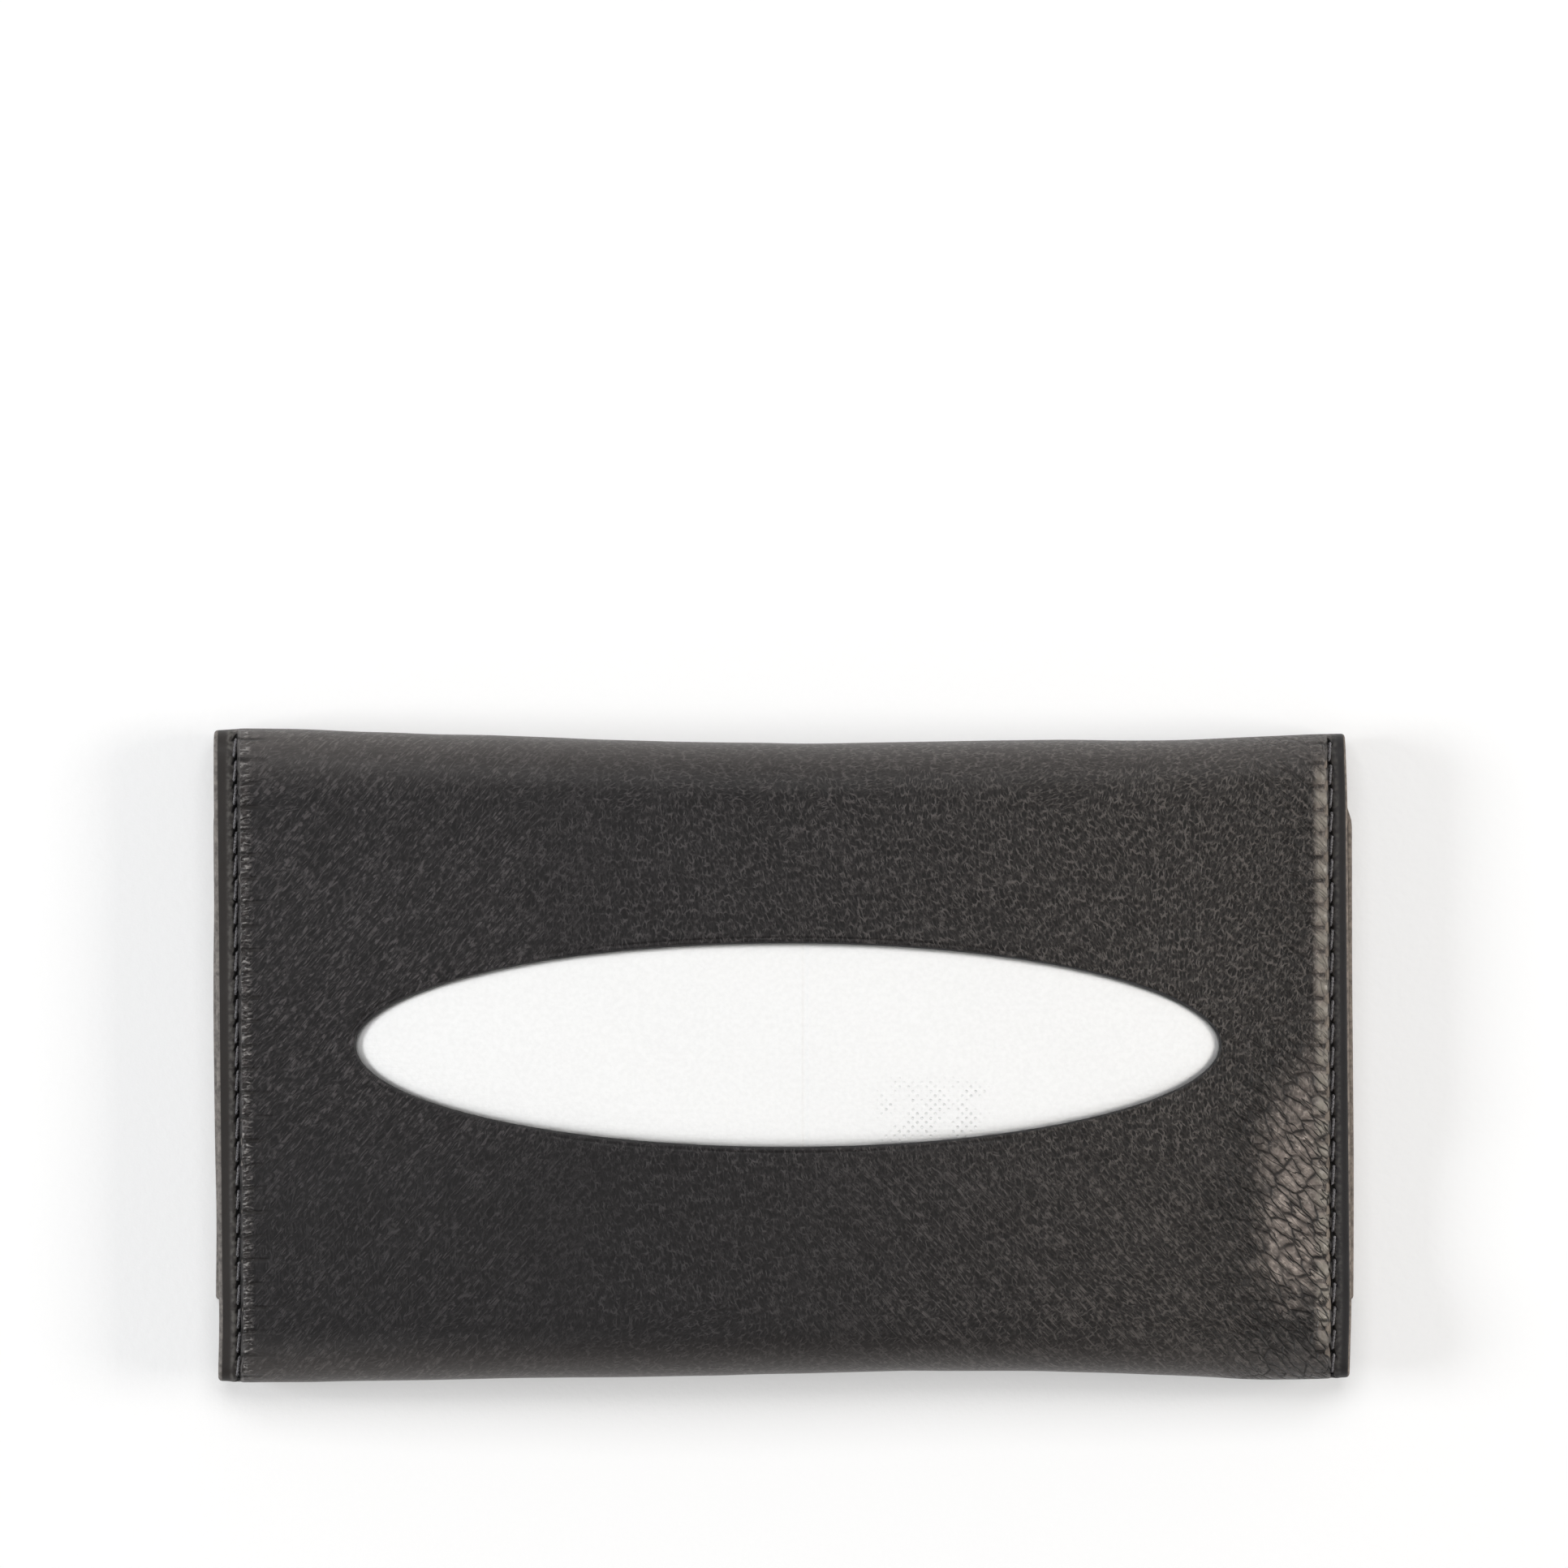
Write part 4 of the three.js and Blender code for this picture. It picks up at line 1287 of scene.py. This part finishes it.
def make_needle_thread(seam, finish, side_name):
    samples = np.linspace(0, seam.count, seam.count * POINTS_PER_STITCH + 1)
    v = np.linspace(-FRONT_RUN - BOTTOM_RUN, FRONT_RUN + TOP_RUN, 4000)
    folded = fold(np.full_like(v, seam.x), v, np.zeros_like(v))
    run = seam.first - samples * seam.step
    skin = np.stack([np.interp(run, folded.run, folded.skin[:, axis]) for axis in range(3)], axis=1)
    out = np.stack([np.interp(run, folded.run, folded.out[:, axis]) for axis in range(3)], axis=1)
    rise = stitch_rise(samples, 0.16 * MM, 0.5 * MM)
    slant = 0.5 - (samples - np.floor(samples))
    places = skin + out * rise[:, None]
    places[:, 0] += 0.3 * MM * slant + 0.14 * MM * seam.side
    route = lean(places)
    thread = twisted_thread(f"{side_name}_needle_cord", route, out, finish)
    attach(thread, "case")
    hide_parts(f"{side_name}_needle_thread")


def make_bobbin_thread(seam, finish, side_name):
    low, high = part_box(f"{side_name}_bobbin_thread")
    first = math.ceil((seam.first - high.y) / seam.step)
    last = math.floor((seam.first - low.y) / seam.step)
    samples = np.linspace(first, last, (last - first) * POINTS_PER_STITCH + 1)
    y = seam.first - samples * seam.step
    front_back = SEAM_Z - WALL
    turn = MOUTH_Y + 0.5 * MM
    surface = lerp(POCKET_Z, front_back, smooth(y, turn - 0.2 * MM, turn + 0.2 * MM))
    clear = smooth(np.abs(y - turn), 0.4 * MM, 0.9 * MM)
    rise = lerp(0.3 * MM, stitch_rise(samples, 0.3 * MM, 0.5 * MM), clear)
    route = np.stack([np.full_like(y, seam.x), y, surface - rise], axis=1)
    out = np.tile([0.0, 0, -1], (len(y), 1))
    thread = twisted_thread(f"{side_name}_bobbin_cord", lean(route), out, finish)
    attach(thread, "case")
    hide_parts(f"{side_name}_bobbin_thread")


def tissue_wave(x, y):
    """The gentle waves that all the tissues share."""
    broad = 0.07 * np.sin(x / (9 * MM) + 0.6) * np.cos(y / (7 * MM))
    return MM * (broad + 0.05 * np.sin((x + 2 * y) / (6.3 * MM)))


def make_tissue_packet(name, index, pitch, finish):
    """One sheet, halved and then folded to and fro in three layers."""
    low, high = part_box(name)
    pack_low, pack_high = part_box(TISSUES[0])[0].z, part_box(TISSUES[-1])[1].z
    layers = 3
    paper = 0.16 * MM
    layer_pitch = (high.z - low.z - paper) / (layers - 1) * 0.96
    turn_radius = layer_pitch / 2
    straight = high.y - low.y - 2 * turn_radius - paper
    turn_run = math.pi * turn_radius
    runs = []
    start = 0
    for layer in range(layers):
        runs.append((start, start + straight, pitch if layer == layers - 1 else max(pitch, 1.7 * MM)))
        start += straight
        if layer < layers - 1:
            runs.append((start, start + turn_run, turn_run / 4))
            start += turn_run
    sheet = lay_sheet(f"{name}_paper", stretches((low.x, high.x, pitch)), stretches(*runs))
    cut, _ = cut_size(sheet)
    flat = places_of(sheet)
    x, run = flat[:, 0], flat[:, 1]
    layer = np.clip(np.floor(run / (straight + turn_run) + 1e-6), 0, layers - 1)
    inside = run - layer * (straight + turn_run)
    to_and_fro = np.where(layer % 2 == 0, 1, -1)
    along = np.clip(inside, 0, straight) - straight / 2
    turned = np.clip((inside - straight) / turn_run, 0, 1) * np.pi
    y = to_and_fro * (along + turn_radius * np.sin(turned))
    z = low.z + paper / 2 + layer_pitch * layer + turn_radius * (1 - np.cos(turned))
    y *= 1 if index % 2 == 0 else -1
    slip = 0.35 * MM * np.sin(3.1 * layer + 1.7 * index)
    middle = (low.y + high.y) / 2
    y = middle + y * (1 - 0.004 * (1 + np.sin(2.3 * index + layer)))
    x = x + slip * (x / high.x) * 0.5 - 0.2 * MM * np.sin(1.9 * index + layer)
    inside = np.clip(SWELL_START - window_distance(x, y), 0, None)
    swell = TISSUE_SWELL * (1 - np.exp(-inside / SWELL_RUN))
    share = (z - pack_low) / (pack_high - pack_low)
    places = np.stack([x, y, z + tissue_wave(x, y) + (swell - sinking(x)) * share], axis=1)
    move_vertices(sheet, places)
    thicken(sheet, paper, 0)
    sheet.data.materials.append(finish)
    smooth_shading(sheet)
    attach(sheet, "case")
    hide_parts(name)


def make_floor():
    deselect_all()
    bpy.ops.mesh.primitive_plane_add(size=6, location=(0, 0, -0.02 * MM))
    floor = bpy.context.object
    floor.name = "paper_floor"
    floor.data.materials.append(make_paper_floor())


def build():
    bpy.context.scene.view_settings.view_transform = "Standard"
    place_camera()
    light_studio()
    make_floor()
    seams = {"left": measure_seam(-1, "left"), "right": measure_seam(1, "right")}
    grain = make_grain_group(make_way_group())
    skin = make_leather(grain, make_crease_group(), make_seam_group(), seams)
    flesh = make_raw_leather("raw_flesh", (0.1, 0.082, 0.068), (0.25, 0.21, 0.175))
    painted_edge = make_raw_leather("painted_edge", (0.008, 0.008, 0.009), (0.028, 0.027, 0.028))
    raw_edge = make_raw_leather("raw_edge", (0.09, 0.074, 0.062), (0.24, 0.2, 0.17))
    twill = make_lining()
    folded = make_case_hide((skin, flesh, painted_edge, raw_edge), seams)
    run_start = float(folded.run.max())
    make_case_lining(twill, seams)
    make_flap_hide((skin, flesh, raw_edge, raw_edge), run_start)
    make_flap_lining(twill, run_start)
    thread = make_thread()
    for name, seam in seams.items():
        make_needle_thread(seam, thread, name)
        make_bobbin_thread(seam, thread, name)
    paper = make_tissue()
    for index, name in enumerate(TISSUES):
        top = index == len(TISSUES) - 1
        make_tissue_packet(name, index, 0.55 * MM if top else 3.2 * MM, paper)
    nickel = make_nickel()
    for name, node in frame["nodes"].items():
        if "magnet" in name:
            for slot in node.material_slots:
                slot.material = nickel


build()

bpy.context.view_layer.update()
